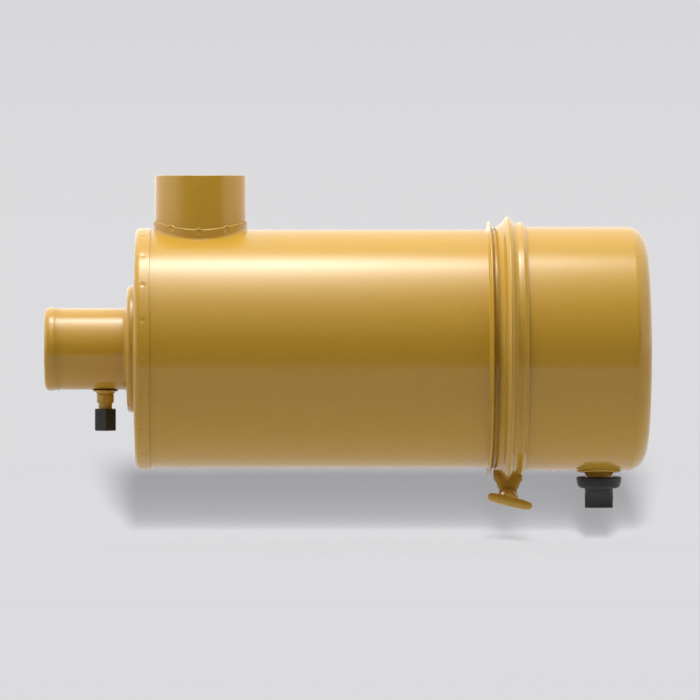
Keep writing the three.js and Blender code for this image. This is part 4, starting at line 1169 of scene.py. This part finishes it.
# ---- Camera (metres) ----
AIM = Vector((35.7, 0.0, -1.4)) * MM
DISTANCE, FRAME_WIDTH = 7.5, 0.8785
AZIMUTH, ELEVATION = math.radians(-0.8), math.radians(1.5)
back = Vector((
    math.sin(AZIMUTH) * math.cos(ELEVATION), -math.cos(AZIMUTH) * math.cos(ELEVATION), math.sin(ELEVATION)
))
lens = bpy.data.cameras.new("camera")
lens.sensor_width = 36.0
lens.lens = 36.0 * DISTANCE / FRAME_WIDTH
lens.clip_end = 200.0
camera = bpy.data.objects.new("camera", lens)
camera.location = AIM + back * DISTANCE
camera.rotation_mode = "QUATERNION"
camera.rotation_quaternion = back.to_track_quat("Z", "Y")
bpy.context.scene.collection.objects.link(camera)
bpy.context.scene.camera = camera

# ---- Studio (metres and degrees) ----
FLOOR_Z = -0.25
TABLE_GLOW, TABLE_TINT = 0.324, (0.995, 0.995, 1.035, 1.0)  # the table's own even light
TABLE_ALBEDO = (0.02, 0.02, 0.0202, 1.0)  # and the share of other light that it returns
FAR_TABLE = (0.7157, 0.7157, 0.7305, 1.0)
SHADOW_FADE = (1.9, 3.2)  # from the object, over which its shadow on the table dies away
HORIZON, ZENITH, HORIZON_RISE = (0.712, 0.712, 0.726), (0.683, 0.683, 0.708), 0.034
WHITE = (1.0, 1.0, 1.0, 1.0)
stage_scene = bpy.context.scene


def smooth(add, value, low, high, to_low, to_high):
    return remap(add, value, to_low, to_high, low, high, "SMOOTHSTEP")


def stage_object(name, mesh, finish, *visibility_off):
    made = bpy.data.objects.new(name, mesh)
    mesh.materials.append(finish)
    stage_scene.collection.objects.link(made)
    for kind in visibility_off:
        setattr(made, "visible_" + kind, False)
    return made


def table_finish():
    """A glowing table that shows a shadow; past the shadow's end it is one even tone."""
    made = bpy.data.materials.new("studio_table")
    add = node_helper(made)
    made.cycles.emission_sampling = "NONE"
    matte = add("ShaderNodeBsdfDiffuse", Color=TABLE_ALBEDO)
    glow = add("ShaderNodeEmission", Color=TABLE_TINT, Strength=TABLE_GLOW)
    near = add("ShaderNodeAddShader", i0=matte.outputs[0], i1=glow.outputs[0])
    far = add("ShaderNodeEmission", Color=FAR_TABLE, Strength=1.0)
    spot = add("ShaderNodeSeparateXYZ", i0=add("ShaderNodeNewGeometry").outputs["Position"]).outputs
    squares = [maths(add, "MULTIPLY", spot[k], spot[k]) for k in (0, 1)]
    share = smooth(add, maths(add, "SQRT", maths(add, "ADD", *squares)), *SHADOW_FADE, 0.0, 1.0)
    mixed = add("ShaderNodeMixShader", i0=share, i1=near.outputs[0], i2=far.outputs[0])
    add("ShaderNodeOutputMaterial", Surface=mixed.outputs[0])
    return made


floor_mesh = bpy.data.meshes.new("studio_floor")
bm = bmesh.new()
bmesh.ops.create_circle(bm, cap_ends=True, segments=96, radius=90.0)
bm.to_mesh(floor_mesh)
bm.free()
floor = stage_object("studio_floor", floor_mesh, table_finish())
floor.location.z = FLOOR_Z

# A dark card in front, out of the camera's sight, keeps the near horizon dark in the paint.
FLAG_Y, FLAG_HALF, FLAG_TOP = -1.0, 1.3, 0.0
felt = bpy.data.materials.new("studio_felt")
add = node_helper(felt)
black = add("ShaderNodeBsdfDiffuse", Color=(0.05, 0.05, 0.05, 1.0))
add("ShaderNodeOutputMaterial", Surface=black.outputs[0])
flag_mesh = bpy.data.meshes.new("studio_flag")
flag_mesh.from_pydata(
    [(side * FLAG_HALF, FLAG_Y, z) for side, z in ((-1, FLOOR_Z), (1, FLOOR_Z), (1, FLAG_TOP), (-1, FLAG_TOP))],
    [], [(0, 1, 2, 3)],
)
stage_object("studio_flag", flag_mesh, felt, "camera", "shadow", "transmission")


def link_group(name, things):
    group = bpy.data.collections.new(name)
    for thing in things:
        group.objects.link(thing)
    return group


# A tall strip light beside the camera reaches the floor only, and throws the soft shadow behind the object.
# The outlet's parts stand clear of it, so the shadow is the barrel's and the cover's.
STRIP_AT = Vector((0.02, -7.5, 0.91))
STRIP_SIZE = (0.26, 1.6)
STRIP_POWER = 158.0
SHADOW_MAKERS = (
    "barrel_shell", "head_shell", "cover_shell", "band_front", "band_rear", "clamp_t_handle", "drain_valve",
)
strip_data = bpy.data.lights.new("floor_strip", "AREA")
strip_data.shape = "RECTANGLE"
strip_data.size, strip_data.size_y = STRIP_SIZE
strip_data.energy = STRIP_POWER
add = node_helper(strip_data)
ray = add("ShaderNodeLightPath").outputs["Ray Length"]
even = add("ShaderNodeLightFalloff", Strength=1.0, Smooth=0.0).outputs["Constant"]
strength = maths(add, "MULTIPLY", even, ray)
add("ShaderNodeOutputLight", Surface=add("ShaderNodeEmission", Strength=strength).outputs[0])
strip = bpy.data.objects.new("floor_strip", strip_data)
strip.location = STRIP_AT
strip.rotation_mode = "QUATERNION"
strip.rotation_quaternion = (STRIP_AT - Vector((0.0, 0.0, FLOOR_Z))).to_track_quat("Z", "Y")
stage_scene.collection.objects.link(strip)
strip.light_linking.receiver_collection = link_group("stage_only", [floor])
makers = [bpy.data.objects[name] for name in SHADOW_MAKERS]
strip.light_linking.blocker_collection = link_group("shadow_makers", makers)
strip.visible_camera = strip.visible_glossy = False

# The studio: bright walls at the sides and behind, a dark camera side, and an even backdrop for the camera.
WALL, LEFT_WALL, FRONT = 1.12, 1.456, 0.02
WALL_FADE = (62.0, 82.0)  # heights between which the walls end
RIGHT_EDGE, LEFT_EDGE = (50.0, 68.0), (30.0, 76.0)  # bearings from the camera between which each wall starts
world = bpy.data.worlds.new("studio")
stage_scene.world = world
add = node_helper(world)
toward = add("ShaderNodeSeparateXYZ", i0=add("ShaderNodeTexCoord").outputs["Generated"]).outputs
front = maths(add, "MULTIPLY", toward[1], -1.0)
bearing = maths(add, "DEGREES", maths(add, "ARCTAN2", toward[0], front))
right_wall = smooth(add, bearing, *RIGHT_EDGE, FRONT, WALL)
left_wall = smooth(add, maths(add, "MULTIPLY", bearing, -1.0), *LEFT_EDGE, FRONT, LEFT_WALL)
height = maths(add, "DEGREES", maths(add, "ARCSINE", toward[2]))
walls = maths(add, "MAXIMUM", right_wall, left_wall)
light = maths(add, "MULTIPLY", walls, smooth(add, height, *WALL_FADE, 1.0, 0.0))
backdrop = blend(add, smooth(add, toward[2], 0.0, HORIZON_RISE, 0.0, 1.0), HORIZON, ZENITH)
seen = add("ShaderNodeBackground", Color=backdrop, Strength=1.0)
lighting = add("ShaderNodeBackground", Color=WHITE, Strength=light)
choice = add("ShaderNodeMixShader", i0=add("ShaderNodeLightPath").outputs["Is Camera Ray"],
             i1=lighting.outputs[0], i2=seen.outputs[0])
add("ShaderNodeOutputWorld", Surface=choice.outputs[0])

# The overhead bank: a curved sheet of light over the object, brightest along a line just in front of it.
BANK_RADIUS, BANK_HALF_LENGTH, BANK_AXIS = 2.0, 1.5, (-0.09, 0.09)
BANK_FROM, BANK_TO, BANK_ROWS, BANK_COLUMNS = 12.0, 156.0, 36, 10
BANK_LEVEL, BANK_TURN, FALL_FRONT, FALL_BACK = 15.3, 88.0, 17.5, 13.0
BANK_X, BANK_LEFT, BANK_RIGHT = -0.13, 0.55, 0.56


def bank_mesh():
    verts, faces = [], []
    for i in range(BANK_ROWS + 1):
        turn = math.radians(BANK_FROM + (BANK_TO - BANK_FROM) * i / BANK_ROWS)
        y = BANK_AXIS[0] - BANK_RADIUS * math.cos(turn)
        z = BANK_AXIS[1] + BANK_RADIUS * math.sin(turn)
        for k in range(BANK_COLUMNS + 1):
            verts.append((BANK_X + BANK_HALF_LENGTH * (2 * k / BANK_COLUMNS - 1), y, z))
    for i in range(BANK_ROWS):
        for k in range(BANK_COLUMNS):
            a = i * (BANK_COLUMNS + 1) + k
            faces.append((a, a + 1, a + BANK_COLUMNS + 2, a + BANK_COLUMNS + 1))
    mesh = bpy.data.meshes.new("studio_bank")
    mesh.from_pydata(verts, [], faces)
    return mesh


def bank_finish():
    """Falls off from its brightest line, slowly to the front and sooner to the back, and towards both ends."""
    made = bpy.data.materials.new("studio_diffuser")
    add = node_helper(made)
    spot = add("ShaderNodeSeparateXYZ", i0=add("ShaderNodeNewGeometry").outputs["Position"]).outputs
    above = maths(add, "SUBTRACT", spot[2], BANK_AXIS[1])
    before = maths(add, "SUBTRACT", BANK_AXIS[0], spot[1])
    off_peak = maths(add, "SUBTRACT", maths(add, "DEGREES", maths(add, "ARCTAN2", above, before)), BANK_TURN)
    ahead = maths(add, "MINIMUM", maths(add, "DIVIDE", off_peak, FALL_FRONT), 0.0)
    behind = maths(add, "MAXIMUM", maths(add, "DIVIDE", off_peak, FALL_BACK), 0.0)
    fall = maths(add, "EXPONENT", maths(add, "SUBTRACT", ahead, maths(add, "MULTIPLY", behind, behind)))
    aside = maths(add, "SUBTRACT", spot[0], BANK_X)
    rightward, leftward = maths(add, "DIVIDE", aside, BANK_RIGHT), maths(add, "DIVIDE", aside, -BANK_LEFT)
    sideways = maths(add, "MAXIMUM", rightward, leftward)
    square = maths(add, "MULTIPLY", sideways, sideways)
    narrow = maths(add, "EXPONENT", maths(add, "MULTIPLY", square, -1.0))
    level = maths(add, "MULTIPLY", maths(add, "MULTIPLY", fall, narrow), BANK_LEVEL)
    glow = add("ShaderNodeEmission", Color=WHITE, Strength=level)
    clear = add("ShaderNodeBsdfTransparent", Color=WHITE)
    both = add("ShaderNodeAddShader", i0=glow.outputs[0], i1=clear.outputs[0])
    add("ShaderNodeOutputMaterial", Surface=both.outputs[0])
    return made


stage_object("studio_bank", bank_mesh(), bank_finish(), "camera", "shadow")

view = stage_scene.view_settings
view.view_transform, view.look = "Standard", "None"
view.exposure, view.gamma = 0.0, 1.0
